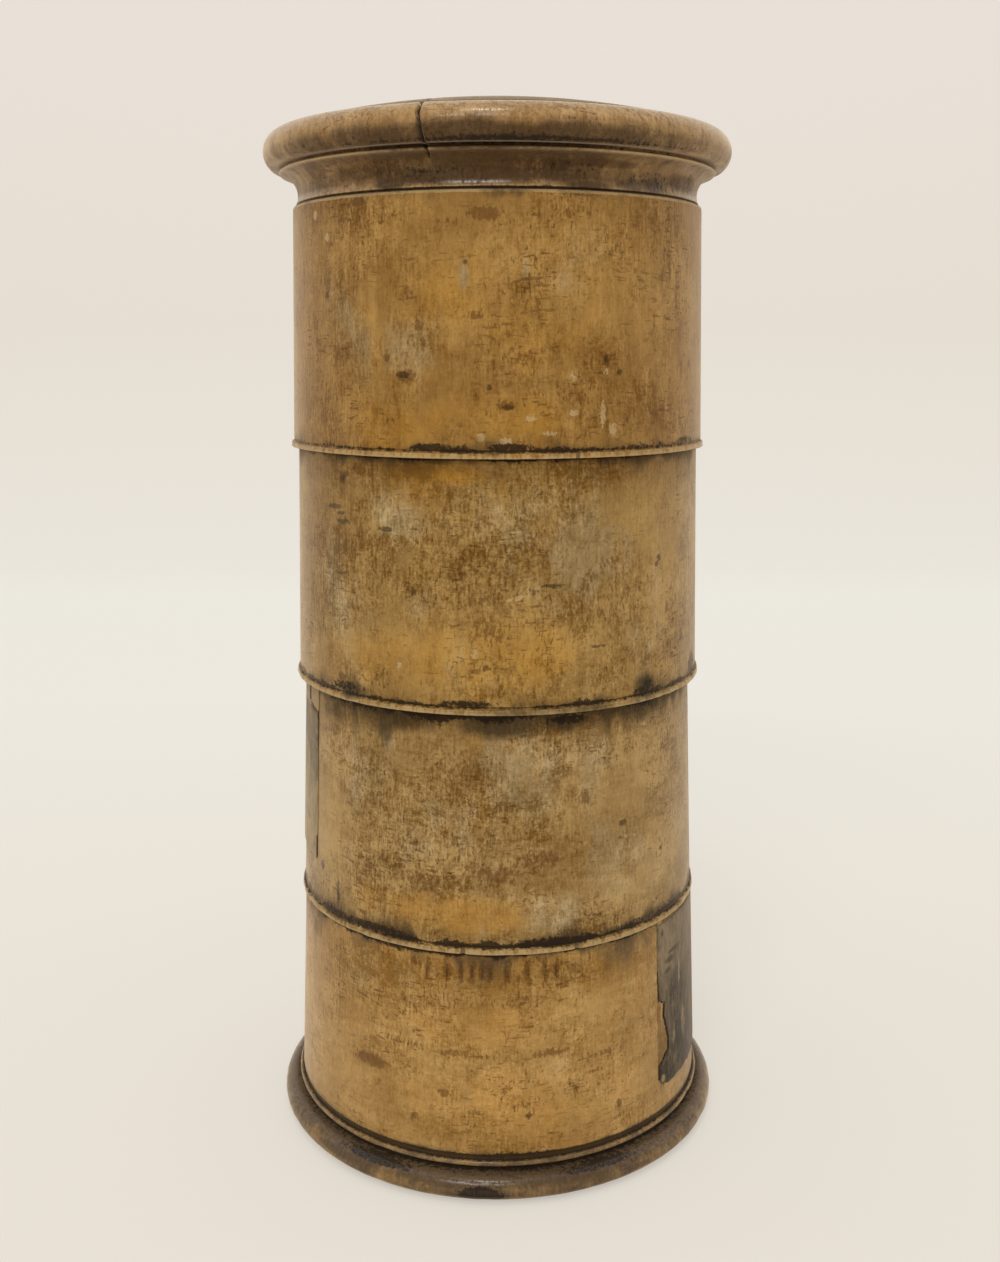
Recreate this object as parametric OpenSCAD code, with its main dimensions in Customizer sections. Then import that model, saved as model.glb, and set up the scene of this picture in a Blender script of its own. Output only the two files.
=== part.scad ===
// Turned wooden spice tower: a moulded lid over four hollow drums that screw into one another.
// Each drum is a cup. Its spigot closes the drum below, and the base drum spreads into a foot.
// Two drums keep the remains of a pasted paper label.
// Millimetres, +Z up, origin at the middle of the underside, front along -Y.

/* [Drum heights] */
// Base drum, from the table to its rim
base_h = 45.3; // [40:0.1:70]
// Third drum from the top, from its seat to its rim
third_h = 42.5; // [39:0.1:70]
// Second drum from the top, from its seat to its rim
second_h = 42.2; // [30:0.1:70]
// Top drum, from its seat to its rim
top_h = 41.5; // [30:0.1:70]

/* [Drum outsides] */
// Base drum across its rim
base_rim_d = 75.7; // [72:0.1:82]
// Base drum across its wall, just above the foot
base_low_d = 78.8; // [74:0.1:82]
// Third drum across its rim
third_rim_d = 72.6; // [70:0.1:82]
// Third drum across the bottom of its wall
third_low_d = 75.8; // [70:0.1:84]
// Second drum across its rim
second_rim_d = 73.4; // [70:0.1:82]
// Second drum across the bottom of its wall
second_low_d = 75.4; // [70:0.1:84]
// Top drum across its rim
top_rim_d = 72.8; // [70:0.1:82]
// Top drum across the bottom of its wall
top_low_d = 74.9; // [70:0.1:84]
// Rounding of the outer edge of every rim
rim_round = 0.5; // [0.2:0.1:1.5]

/* [Beads] */
// Height of the bead at the bottom of a drum
bead_h = 0.9; // [0.8:0.1:3]
// Rounding of the bead's two edges
bead_edge = 0.3; // [0.1:0.05:0.35]
// How far the bead stands out from the wall above it
bead_proud = 0.45; // [0.2:0.05:1.5]
// Width of the round groove cut just above the bead
quirk_w = 0.6; // [0.4:0.1:2.5]

/* [Hollows and screw joints] */
// Width of every hollow
hollow_d = 60; // [52:0.5:62]
// Rounding between the hollow's wall and its floor
floor_round = 4; // [2:0.5:8]
// Thickness of a drum's floor, measured up from the end of its spigot
floor_t = 7; // [4:0.5:12]
// Height of the base drum's floor above the table
base_floor_h = 9; // [5:0.5:14]
// Step out from the hollow to the socket in a drum's mouth
socket_step = 1.5; // [0.5:0.1:3]
// Length of the spigot under the lid and under each upper drum
spigot_len = 7.5; // [5:0.5:12]
// Radial clearance between a spigot and its socket
spigot_clear = 0.3; // [0.1:0.05:0.8]
// Clearance between the end of a spigot and the bottom of its socket
spigot_end_clear = 1; // [0.5:0.1:3]
// Chamfer on the mouth of a socket and on the end of a spigot
lead_in = 0.6; // [0.2:0.1:1.5]

/* [Lid] */
// Lid across its round rim
lid_d = 82.7; // [79:0.1:95]
// Radius of the round rim in section
lid_round = 3.35; // [2:0.05:5]
// Lid across the narrowest part of its hollow moulding
lid_neck_d = 71; // [68:0.1:76]
// Radius of the hollow moulding in section
lid_scotia = 3.05; // [2:0.05:3.4]
// Height of the neck above the lid's seat
lid_neck_h = 1.85; // [1:0.05:3]
// Lid across the thin lip between the hollow moulding and the round rim
lid_lip_d = 77.4; // [76:0.1:80]
// Thickness of the lip
lid_lip_t = 0.8; // [0.4:0.1:2]
// Rise of the dome above the round rim
dome_rise = 5; // [2:0.1:12]
// Width of the recess turned under the lid
lid_recess_d = 50; // [30:0.5:56]
// Depth of that recess, measured up from the end of the spigot
lid_recess_h = 12; // [5:0.5:16]

/* [Foot] */
// Base drum across its round foot
foot_d = 86.1; // [82:0.1:100]
// Radius of the round foot in section
foot_round = 2.45; // [1.5:0.05:4]
// Gap between the round foot and the thin ring above it
foot_gap = 1; // [0.4:0.1:3]
// Thickness of the thin ring
foot_ring_t = 1; // [0.5:0.1:2.5]
// How far the thin ring stands out from the wall above it
foot_ring_proud = 0.7; // [0.3:0.05:2]
// Width of the round groove cut just above the thin ring
foot_quirk_w = 1.3; // [0.5:0.1:2.5]
// Width of the shallow recess under the base
under_d = 66; // [40:1:74]
// Depth of that recess
under_h = 1.2; // [0.5:0.1:3]

/* [Paper labels] */
// Thickness of the paper
paper_t = 0.2; // [0.1:0.05:0.5]
// Thickness of the paste under the paper
paste_t = 0.05; // [0.02:0.01:0.1]
// Height of the lower edge of the third drum's label above the drum's seat
third_label_low = 9.4; // [4:0.1:20]
// Distance from that label's upper edge to the rounding of the rim
third_label_top = 0.4; // [0.1:0.1:10]
// Width of that label round the drum
third_label_w = 62.8; // [15:0.1:110]
// Angle from the front to that label's right edge, to the right
third_label_angle = -62.7; // [-180:0.1:180]
// Height of the lower edge of the base drum's label above the foot's mouldings
base_label_low = 4; // [1:0.1:10]
// Distance from that label's upper edge to the rounding of the rim
base_label_top = 0.3; // [0.1:0.1:10]
// Width of that label round the drum
base_label_w = 65.3; // [15:0.1:110]
// Angle from the front to that label's left edge, to the right
base_label_angle = 49.7; // [-180:0.1:180]
// How far the tear runs into the base label's left edge
base_tear = 3; // [1:0.1:8]

/* [Hidden] */
$fn = 180;

// Angle of the front, where the labels' angles are counted from
front = -90;
// Overrun of cuts past the faces that they open
overrun = 1;

// Heights of the seats, from the table
third_seat = base_h;
second_seat = third_seat + third_h;
top_seat = second_seat + second_h;
lid_seat = top_seat + top_h;

// Radii shared by every screw joint
hollow_r = hollow_d / 2;
socket_r = hollow_r + socket_step;
socket_depth = spigot_len + spigot_end_clear;
spigot_r = socket_r - spigot_clear;
drum_floor = floor_t - spigot_len;

// Top of the foot's mouldings, where the base drum's wall begins
foot_ring_low = 2 * foot_round + foot_gap;
foot_quirk_low = foot_ring_low + foot_ring_t;
foot_top = foot_quirk_low + foot_quirk_w;

// Heights in the lid, from its seat
lip_low = lid_neck_h + lid_scotia;
lip_top = lip_low + lid_lip_t;
rim_mid = lip_top + lid_round;
rim_top = rim_mid + lid_round;
rim_mid_r = lid_d / 2 - lid_round;
dome_r = (pow(rim_mid_r, 2) + pow(dome_rise, 2)) / (2 * dome_rise);

// Underside of a piece that ends in a spigot, from the axis out to the seat
spigot_line = [[0, -spigot_len], [spigot_r - lead_in, -spigot_len], [spigot_r, lead_in - spigot_len], [spigot_r, 0]];

// Turns of the labels round their drums, from their widths
third_label_turn = third_label_w / (PI * third_low_d) * 360;
base_label_turn = base_label_w / (PI * base_low_d) * 360;

// Torn left edge of the base label: how far in, as a part of the tear, and how far up, as a part of the label
torn_edge = [[0.1, 0], [0, 0.14], [0.5, 0.17], [0.95, 0.2], [1, 0.32], [0.65, 0.43], [0.6, 0.52], [0, 0.55], [0.1, 1]];

// Radius of a straight flaring wall at height z
function wall_r(low_d, rim_d, z_low, h, z) =
    low_d / 2 + (rim_d - low_d) / 2 * (z - z_low) / (h - rim_round - z_low);

// Half section of a flaring wall with a rounded rim, straight below z_low, over an underside of given points
module wall(underside, low_d, rim_d, z_low, h) {
    edge_z = h - rim_round;
    edge_r = rim_d / 2 - rim_round;
    polygon(concat(underside, [[low_d / 2, 0], [low_d / 2, z_low], [rim_d / 2, edge_z], [0, edge_z]]));
    translate([0, z_low]) square([edge_r, h - z_low]);
    translate([edge_r, edge_z]) circle(rim_round);
}

// Half section of a plate of radius r and thickness t with a half-round edge
module round_edged(r, t) {
    square([r - t / 2, t]);
    translate([r - t / 2, t / 2]) circle(d = t);
}

// Half section of a plate of radius r and thickness t with its two edges rounded
module soft_edged(r, t, edge) {
    square([r - edge, t]);
    translate([0, edge]) square([r, t - 2 * edge]);
    translate([r - edge, edge]) circle(edge);
    translate([r - edge, t - edge]) circle(edge);
}

// Half section of a drum's hollow, with the socket at its mouth
module hollow(floor_z, h) {
    corner_r = hollow_r - floor_round;
    corner_z = floor_z + floor_round;
    mouth_r = socket_r + lead_in;
    translate([0, floor_z]) square([corner_r, floor_round]);
    translate([corner_r, corner_z]) circle(floor_round);
    translate([0, corner_z]) square([hollow_r, h - corner_z]);
    translate([0, h - socket_depth]) square([socket_r, socket_depth]);
    polygon([[0, h - lead_in], [socket_r, h - lead_in], [mouth_r, h], [mouth_r, h + overrun], [0, h + overrun]]);
}

// One drum with a bead round its lower edge and a spigot under its floor
module drum(low_d, rim_d, h) {
    rotate_extrude() difference() {
        union() {
            wall(spigot_line, low_d, rim_d, bead_h, h);
            soft_edged(low_d / 2 + bead_proud, bead_h, bead_edge);
        }
        translate([low_d / 2, bead_h + quirk_w / 2]) circle(d = quirk_w);
        hollow(drum_floor, h);
    }
}

// Strip of paper pasted round a flaring wall
module pasted_strip(low_d, rim_d, z_low, h, strip_low, strip_top, turn) {
    r_low = wall_r(low_d, rim_d, z_low, h, strip_low) + paste_t;
    r_top = wall_r(low_d, rim_d, z_low, h, strip_top) + paste_t;
    rotate_extrude(angle = turn) polygon([
        [r_low, strip_low],
        [r_low + paper_t, strip_low],
        [r_top + paper_t, strip_top],
        [r_top, strip_top]
    ]);
}

module lid() {
    color([0.56, 0.42, 0.24]) translate([0, 0, lid_seat]) rotate_extrude() difference() {
        union() {
            polygon(concat(spigot_line, [[rim_mid_r, 0], [rim_mid_r, rim_top], [0, rim_top]]));
            translate([0, lip_low]) round_edged(lid_lip_d / 2, lid_lip_t);
            translate([rim_mid_r, rim_mid]) circle(lid_round);
            intersection() {
                translate([0, rim_top + dome_rise - dome_r]) circle(dome_r);
                translate([0, rim_mid]) square([rim_mid_r, lid_round + dome_rise]);
            }
        }
        translate([lid_neck_d / 2 + lid_scotia, lid_neck_h]) circle(lid_scotia);
        translate([0, -spigot_len - overrun]) square([lid_recess_d / 2, lid_recess_h + overrun]);
    }
}

module top_section() {
    color([0.60, 0.44, 0.21]) translate([0, 0, top_seat]) drum(top_low_d, top_rim_d, top_h);
}

module second_section() {
    color([0.57, 0.43, 0.23]) translate([0, 0, second_seat]) drum(second_low_d, second_rim_d, second_h);
}

module third_section() {
    color([0.61, 0.47, 0.27]) translate([0, 0, third_seat]) drum(third_low_d, third_rim_d, third_h);
}

module base_section() {
    color([0.58, 0.45, 0.28]) rotate_extrude() difference() {
        union() {
            wall([[0, 0]], base_low_d, base_rim_d, foot_top, base_h);
            round_edged(foot_d / 2, 2 * foot_round);
            translate([0, foot_ring_low]) round_edged(base_low_d / 2 + foot_ring_proud, foot_ring_t);
        }
        translate([base_low_d / 2, foot_quirk_low + foot_quirk_w / 2]) circle(d = foot_quirk_w);
        translate([0, -overrun]) square([under_d / 2, under_h + overrun]);
        hollow(base_floor_h, base_h);
    }
}

module third_label() {
    strip_top = third_h - rim_round - third_label_top;
    color([0.30, 0.26, 0.21]) translate([0, 0, third_seat])
        rotate(front + third_label_angle - third_label_turn)
            pasted_strip(third_low_d, third_rim_d, bead_h, third_h, third_label_low, strip_top, third_label_turn);
}

module base_label() {
    strip_low = foot_top + base_label_low;
    strip_top = base_h - rim_round - base_label_top;
    tear_line = [for (p = torn_edge) [p[0] * base_tear, strip_low + p[1] * (strip_top - strip_low)]];
    color([0.27, 0.24, 0.21]) rotate(front + base_label_angle) difference() {
        pasted_strip(base_low_d, base_rim_d, foot_top, base_h, strip_low, strip_top, base_label_turn);
        rotate([90, 0, 90]) linear_extrude(foot_d) polygon(concat(
            [[-overrun, strip_top + overrun], [-overrun, strip_low - overrun]],
            [[tear_line[0][0], strip_low - overrun]],
            tear_line,
            [[tear_line[len(tear_line) - 1][0], strip_top + overrun]]
        ));
    }
}

lid();
top_section();
second_section();
third_section();
base_section();
third_label();
base_label();
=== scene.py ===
"""Looks of an old turned spice tower: moulded lid, four screwed drums and the remains of two paper labels."""
from collections.abc import Sequence
from dataclasses import dataclass
from math import radians

import bpy
import numpy as np
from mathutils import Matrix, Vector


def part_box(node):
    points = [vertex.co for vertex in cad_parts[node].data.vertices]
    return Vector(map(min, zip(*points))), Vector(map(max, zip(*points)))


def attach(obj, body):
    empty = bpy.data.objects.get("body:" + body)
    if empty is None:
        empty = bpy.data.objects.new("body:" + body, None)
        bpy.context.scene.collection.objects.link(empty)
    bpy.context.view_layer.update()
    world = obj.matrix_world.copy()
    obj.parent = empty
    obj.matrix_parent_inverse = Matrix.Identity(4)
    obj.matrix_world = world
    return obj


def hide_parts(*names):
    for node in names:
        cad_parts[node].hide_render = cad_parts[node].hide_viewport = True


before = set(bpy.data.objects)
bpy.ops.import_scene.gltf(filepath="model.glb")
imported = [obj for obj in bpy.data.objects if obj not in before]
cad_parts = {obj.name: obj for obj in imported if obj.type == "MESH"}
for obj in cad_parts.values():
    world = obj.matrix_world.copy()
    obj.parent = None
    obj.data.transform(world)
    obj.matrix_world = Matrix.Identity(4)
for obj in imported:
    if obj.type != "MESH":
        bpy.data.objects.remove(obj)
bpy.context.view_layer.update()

# Units: lengths in this script are millimetres, and the meshes are metres
MM = 0.001

# Heights of the seats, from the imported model
SEAT_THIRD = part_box("base_section")[1].z / MM
SEAT_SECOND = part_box("third_section")[1].z / MM
SEAT_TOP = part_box("second_section")[1].z / MM
SEAT_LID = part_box("top_section")[1].z / MM
LID_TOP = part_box("lid")[1].z / MM

# Screw joints, the same in every piece
HOLLOW_R = 30.0
FLOOR_ROUND = 4.0
SOCKET_R = 31.5
SOCKET_DEPTH = 8.5
SPIGOT_R = 31.2
SPIGOT_LEN = 7.5
SPIGOT_NECK = 1.0
LEAD_IN = 0.6
DRUM_FLOOR = -0.5
THREAD_PITCH = 4.0
THREAD_DEPTH = 0.35
THREAD_FLATNESS = 1.5
THREAD_RUNOUT = 0.8

# Mouldings of a drum
BEAD_H = 0.85
BEAD_PROUD = 0.45
BEAD_EDGE = 0.1
BEAD_LEAN = 0.1
CREVICE_W = 0.6
CREVICE_SINK = 0.1
CREVICE_LOW = 0.15
CREVICE_HIGH = 0.2
RIM_ROUND = 0.5

# Wear of a rim under the lid, and of the dirty rims lower down
WORN_RIM = 0.9
DIRTY_RIM = 0.1

# Height of the dirtiest part of a wall, next to a moulding
DIRTY_END = 3.0

# Turn in radians over which the film, grime and painted shade on the mouldings thin out away from the front
FILM_AND_SHADE_FADE = 0.9

# Steps round a turned piece, closer together over the front, and rings up a wall, closer near its ends
TURN_STEPS = 400
FINE_STEPS = 4001
FRONT_TURN = 85.0
FRONT_CROWDING = 0.8
CROWDING_EDGE = 4
WALL_RINGS = 80
LOW_RINGS = 24
HIGH_RINGS = 16

# Uneven turning: lowest and highest wave round a piece, and size, for its oval and its worn edges
OVAL_WAVES = (2, 5)
OVAL_SIZE = 0.07
OVAL_LOST_INSIDE = 0.7
EDGE_WAVES = (20, 90)
EDGE_SIZE = 0.045
WAVE_FALL = 0.7
WAVE_PEAK = 1.6

# Dirt and painted shade along a moulding: lowest and highest wave of its reach, and its least and greatest
# swell
SMEAR_WAVES = (3, 70)
SMEAR_SWELL = (0.12, 2.6)

# Steps from a piece's own seed to those of its worn edges, and of its grime and film, which carry painted
# shade too
EDGE_SEED = 1
GRIME_AND_SHADE_SEED = 2
FILM_AND_SHADE_SEED = 7

# How sharply a surface mark ends
BLOT_FALL = 1.5

# Angles between which marks are spread over the back
BACK_FROM = 80.0
BACK_TO = 280.0

# Ranges of strength of tones, stains, nicks and scratches there
TONES = (-0.3, 0.3)
STAINS = (0.4, 0.75)
NICKS = (0.6, 1.0)
SCRATCHES = (0.5, 0.85)


# Small shapes and waves

def line(start, end, steps):
    """Points on the straight line from start to end, evenly spaced, without the last one."""
    t = np.linspace(0.0, 1.0, steps, endpoint=False)[:, None]
    return np.array(start) + (np.array(end) - np.array(start)) * t


def on_arc(centre, radius, angle, tall=1.0):
    """Point at an angle in degrees on a circle about centre, or on an ellipse that is tall times as high."""
    a = np.radians(angle)
    return centre[0] + radius * np.cos(a), centre[1] + radius * tall * np.sin(a)


def arc(centre, radius, start, end, steps, tall=1.0):
    """Points on a circle or ellipse about centre, between two angles in degrees, without the last one."""
    return np.stack(on_arc(centre, radius, np.linspace(start, end, steps, endpoint=False), tall), axis=1)


def wobble(turn, seed, low, high, size):
    """Smooth unevenness round a turning: a sum of cosines of the orders low to high, with seeded phases.

    Each order is weaker than the one before, and the sum has about the given size.
    """
    rng = np.random.default_rng(seed)
    orders = np.arange(low, high + 1)
    phases = rng.uniform(0.0, 2.0 * np.pi, orders.size)
    weights = (low / orders) ** WAVE_FALL
    waves = np.cos(turn[..., None] * orders + phases) * weights
    return size * waves.sum(-1) / np.sqrt((weights ** 2).sum() / 2.0) / WAVE_PEAK


def nearest_turn(turn, angle):
    """Signed angle from the given angle in degrees to each turn in radians, taken the short way round."""
    return (turn - radians(angle) + np.pi) % (2.0 * np.pi) - np.pi


def notches(turn, radius, chips):
    """Depth of chips in an edge: a bell-shaped dip for each (angle, half width in mm, depth in mm)."""
    depth = np.zeros_like(turn)
    for angle, half_width, deep in chips:
        depth += deep * np.exp(-(nearest_turn(turn, angle) * radius / half_width) ** 2)
    return depth


def along(height, corners):
    """Value at each height on the line through (height, value) corners."""
    heights, values = np.array(corners).T
    return np.interp(height, heights, values)


def offsets(turn, height, radius, angle, mid, half_width, half_height):
    """Distances from the middle of a mark, round and up a turning, in its half widths and half heights."""
    return nearest_turn(turn, angle) * radius / half_width, (height - mid) / half_height


def blots(turn, height, radius, marks):
    """Strength of surface marks: the largest of soft ellipses, which fall off as exp(-d^3).

    A mark is (angle, height, half width, half height, strength), and d is the distance from its middle.
    """
    strength = np.zeros(np.broadcast_shapes(turn.shape, height.shape))
    for *place, peak in marks:
        across, up = offsets(turn, height, radius, *place)
        strength = np.maximum(strength, peak * np.exp(-(across ** 2 + up ** 2) ** BLOT_FALL))
    return strength


def swells(turn, height, radius, areas):
    """Lighter and darker areas: the sum of wide bells exp(-d^2), each given as a mark is."""
    total = np.zeros(np.broadcast_shapes(turn.shape, height.shape))
    for *place, peak in areas:
        across, up = offsets(turn, height, radius, *place)
        total += peak * np.exp(-across ** 2 - up ** 2)
    return total


def scattered(seed, count, low, high, widths, heights, strengths, turns=(BACK_FROM, BACK_TO)):
    """Seeded marks between two heights and two angles, with half sizes and strengths in the given ranges."""
    rng = np.random.default_rng(seed)
    angles = rng.uniform(*turns, count)
    mids = rng.uniform(low, high, count)
    half_widths = rng.uniform(*widths, count)
    half_heights = rng.uniform(*heights, count)
    return list(zip(angles, mids, half_widths, half_heights, rng.uniform(*strengths, count)))


def uneven_steps(angle, half_turn, crowding):
    """Turns all the way round, closer about one angle: their density is 1 plus a flat-topped bell."""
    even = np.linspace(-np.pi, np.pi, FINE_STEPS)
    bell = np.exp(-(nearest_turn(even, angle) / radians(half_turn)) ** CROWDING_EDGE)
    density = 1.0 + crowding * bell
    total = np.concatenate([[0.0], np.cumsum((density[1:] + density[:-1]) / 2.0)])
    return np.interp(np.linspace(0.0, total[-1], TURN_STEPS, endpoint=False), total, even)


def ring_stains(turn, height, radius, rings):
    """Strength of ring-shaped stains: a bell across each (angle, height, ring radius, width, strength)."""
    strength = np.zeros(np.broadcast_shapes(turn.shape, height.shape))
    for angle, mid, ring, width, peak in rings:
        across = nearest_turn(turn, angle) * radius
        off = (np.hypot(across, height - mid) - ring) / width
        strength = np.maximum(strength, peak * np.exp(-off ** 2))
    return strength


def smears(turn, height, bands, seed):
    """Strength of dirt and painted shade along a moulding: bells in height, each (height, reach below, reach
    above, strength).

    The reach of a bell swells and shrinks round the turning by a seeded wobble, so that its edge is uneven.
    """
    strength = np.zeros(np.broadcast_shapes(turn.shape, height.shape))
    for order, (mid, below, above, peak) in enumerate(bands):
        swell = np.clip(1.0 + wobble(turn, seed + order, *SMEAR_WAVES, 1.0), *SMEAR_SWELL)
        reach = np.where(height > mid, above, below) * swell
        strength = np.maximum(strength, peak * np.exp(-((height - mid) / reach) ** 2))
    return strength


# Profiles of turned pieces

CHANNELS = ("grime", "film", "wear", "inner", "edge", "thread", "polish")


def run(points, **channels):
    """One stretch of a profile with the channels that apply along it, each a value or a (start, end) pair."""
    count = len(points)
    made = {}
    for name in CHANNELS:
        value = channels.get(name, 0.0)
        first, last = value if isinstance(value, tuple) else (value, value)
        made[name] = np.linspace(first, last, count)
    return points, made


def profile(runs, last):
    """A profile from the axis below, round the outside and back to the axis: columns of radii and heights.

    The channels come with it, as columns too.
    """
    places = np.concatenate([points for points, _ in runs] + [np.array([last])])
    channels = {}
    for name in CHANNELS:
        values = [made[name] for _, made in runs]
        channels[name] = np.concatenate(values + [values[-1][-1:]])[:, None]
    return places[:, :1], places[:, 1:], channels


def thread_wave(turn, height):
    """Screw thread of one start: a flattened triangle wave of height / pitch less the turn, from -1 to 1."""
    phase = height / THREAD_PITCH - turn / (2.0 * np.pi)
    saw = 2.0 * np.abs(2.0 * (phase - np.floor(phase + 0.5))) - 1.0
    return np.clip(saw * THREAD_FLATNESS, -1.0, 1.0)


def set_values(mesh, name, values):
    """Writes one value per vertex as an attribute of the mesh."""
    mesh.attributes.new(name, "FLOAT", "POINT").data.foreach_set("value", values.astype(np.float32))


def turned_mesh(name, points, attributes):
    """Closed mesh of a turning from a grid of points, rings by steps: quads, with a fan at each pole."""
    rings, steps = points.shape[:2]
    body = points[1:-1].reshape(-1, 3)
    low_pole, high_pole = points[0].mean(0), points[-1].mean(0)
    corners = np.concatenate([body, low_pole[None], high_pole[None]]) * MM
    index = np.arange((rings - 2) * steps).reshape(rings - 2, steps)
    beside = np.roll(index, -1, axis=1)
    quads = np.stack([index[:-1], beside[:-1], beside[1:], index[1:]], axis=-1).reshape(-1, 4)
    low_fan = np.stack([np.full(steps, len(body)), beside[0], index[0]], axis=-1)
    high_fan = np.stack([index[-1], beside[-1], np.full(steps, len(body) + 1)], axis=-1)
    mesh = bpy.data.meshes.new(name)
    mesh.from_pydata(corners, [], quads.tolist() + low_fan.tolist() + high_fan.tolist())
    mesh.polygons.foreach_set("use_smooth", np.ones(len(mesh.polygons), bool))
    for key, grid in attributes.items():
        grid = np.broadcast_to(grid, points.shape[:2])
        set_values(mesh, key, np.concatenate([grid[1:-1].ravel(), [grid[0].mean(), grid[-1].mean()]]))
    mesh.update()
    return mesh


def on_scene(name, mesh, surface, body, node):
    """Puts a finished mesh in the scene, riding on its body in place of its solid."""
    mesh.materials.append(surface)
    piece = bpy.data.objects.new(name, mesh)
    bpy.context.scene.collection.objects.link(piece)
    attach(piece, body)
    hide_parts(node)


@dataclass
class Ageing:
    """Marks of age on one turned piece, as (angle from the front, height, half width, half height, strength).

    Rings, bands and chips are given as ring_stains, smears and notches take them. The bands, soot and black
    marks also paint shade under the mouldings, besides dirt. The fade is how much the film, grime and painted
    shade on the mouldings thin out away from the front.
    """
    seed: int
    tone: Sequence = ()
    dark: Sequence = ()
    nicks: Sequence = ()
    pale: Sequence = ()
    grey: Sequence = ()
    warm: Sequence = ()
    black_and_shade: Sequence = ()
    sooty_and_shaded: Sequence = ()
    rings: Sequence = ()
    grime_bands: Sequence = ()
    film_bands: Sequence = ()
    chips: Sequence = ()
    fade: float = 0.0


def turned_piece(name, runs, last, seat, age, turn=None, carve=None):
    """A turning: each profile point swept round the axis, its radius a little oval, chipped and threaded.

    The radius at a point is the profile's, plus an oval of a few waves, less chips and fine waves on the edge
    channel, plus the thread wave on the thread channel. Angle 0 is the front, and angles grow to the right.
    """
    radius, rise, channels = profile(runs, last)
    turn = uneven_steps(0.0, FRONT_TURN, FRONT_CROWDING) if turn is None else turn
    turns = np.broadcast_to(turn, (len(radius), turn.shape[-1])).copy()
    outside = 1.0 - channels["inner"]
    reach = np.clip(radius / HOLLOW_R, 0.0, 1.0) * (1.0 - OVAL_LOST_INSIDE * channels["inner"])
    oval = wobble(turns, age.seed, *OVAL_WAVES, OVAL_SIZE) * reach
    fine = wobble(turns, age.seed + EDGE_SEED, *EDGE_WAVES, EDGE_SIZE)
    worn = channels["edge"] * (notches(turns, radius, age.chips) + fine)
    thread = channels["thread"] * thread_wave(turns, rise + seat) * THREAD_DEPTH
    swept = radius + oval - worn + thread
    lift = np.zeros_like(swept)
    cut = np.zeros_like(swept)
    if carve is not None:
        swept, lift, turns, cut = carve(swept, rise, turns)
    points = np.stack([swept * np.sin(turns), -swept * np.cos(turns), rise + lift + seat], axis=-1)

    def marked(kind):
        """Strength of one kind of mark, as blots gives it."""
        return blots(turns, rise, radius, getattr(age, kind))

    # Film, grime, soot and black marks: dirt, and painted shade under the mouldings
    fade = 1.0 - age.fade * (1.0 - np.exp(-(turns / FILM_AND_SHADE_FADE) ** 2))
    caked_and_shaded = np.maximum(marked("black_and_shade"), smears(turn, rise, age.grime_bands, age.seed + GRIME_AND_SHADE_SEED) * fade)
    sooty_and_shaded = np.maximum(marked("sooty_and_shaded"), smears(turn, rise, age.film_bands, age.seed + FILM_AND_SHADE_SEED) * fade)
    masks = {key: channels[key] for key in ("wear", "inner", "polish")}
    masks.update({key: outside * marked(key) for key in ("nicks", "pale", "grey", "warm")})
    masks["grime"] = np.maximum(np.maximum(channels["grime"], outside * caked_and_shaded), cut)
    masks["film"] = np.maximum(channels["film"] * fade, outside * sooty_and_shaded)
    masks["tone"] = outside * swells(turns, rise, radius, age.tone)
    masks["dark"] = outside * np.maximum(marked("dark"), ring_stains(turns, rise, radius, age.rings))
    return turned_mesh(name, points, masks)


def thread_runs(radius, start, end, first, last, steps):
    """Threaded side between two heights: the thread grows over the first length and fades over the last."""
    way = np.sign(end - start)
    full_from, full_to = start + way * first, end - way * last
    return [
        run(line((radius, start), (radius, full_from), 4), inner=1.0, thread=(0.0, 1.0)),
        run(line((radius, full_from), (radius, full_to), steps), inner=1.0, thread=1.0),
        run(line((radius, full_to), (radius, end), 4), inner=1.0, thread=(1.0, 0.0)),
    ]


def spigot_runs():
    """Chamfer at the end of a spigot and its threaded side, up to the seat."""
    chamfer_z = LEAD_IN - SPIGOT_LEN
    chamfer = line((SPIGOT_R - LEAD_IN, -SPIGOT_LEN), (SPIGOT_R, chamfer_z), 3)
    return [run(chamfer, inner=1.0)] + thread_runs(SPIGOT_R, chamfer_z, 0.0, THREAD_RUNOUT, SPIGOT_NECK, 13)


def mouth_runs(rim_r, height, floor_z, rim_wear):
    """Rounded rim, threaded socket, hollow and floor of a drum, from the top of its wall in to the axis."""
    edge = (rim_r - RIM_ROUND, height - RIM_ROUND)
    mouth_r = SOCKET_R + LEAD_IN
    socket_z = height - LEAD_IN
    step_z = height - SOCKET_DEPTH
    corner = (HOLLOW_R - FLOOR_ROUND, floor_z + FLOOR_ROUND)
    runs = [
        run(arc(edge, RIM_ROUND, 0, 50, 5), wear=rim_wear, edge=0.6),
        run(arc(edge, RIM_ROUND, 50, 90, 4), grime=(0.8, 1.4), edge=0.6),
        run(line((edge[0], height), (mouth_r, height), 6), inner=0.5, film=0.4),
        run(line((mouth_r, height), (SOCKET_R, socket_z), 3), inner=1.0),
    ]
    runs += thread_runs(SOCKET_R, socket_z, step_z, THREAD_RUNOUT, THREAD_RUNOUT, 15)
    runs += [
        run(line((SOCKET_R, step_z), (HOLLOW_R, step_z), 3), inner=1.0),
        run(line((HOLLOW_R, step_z), (HOLLOW_R, corner[1]), 5), inner=1.0),
        run(arc(corner, FLOOR_ROUND, 0, -90, 8), inner=1.0),
        run(line((corner[0], floor_z), (0.0, floor_z), 5), inner=1.0),
    ]
    return runs


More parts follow.
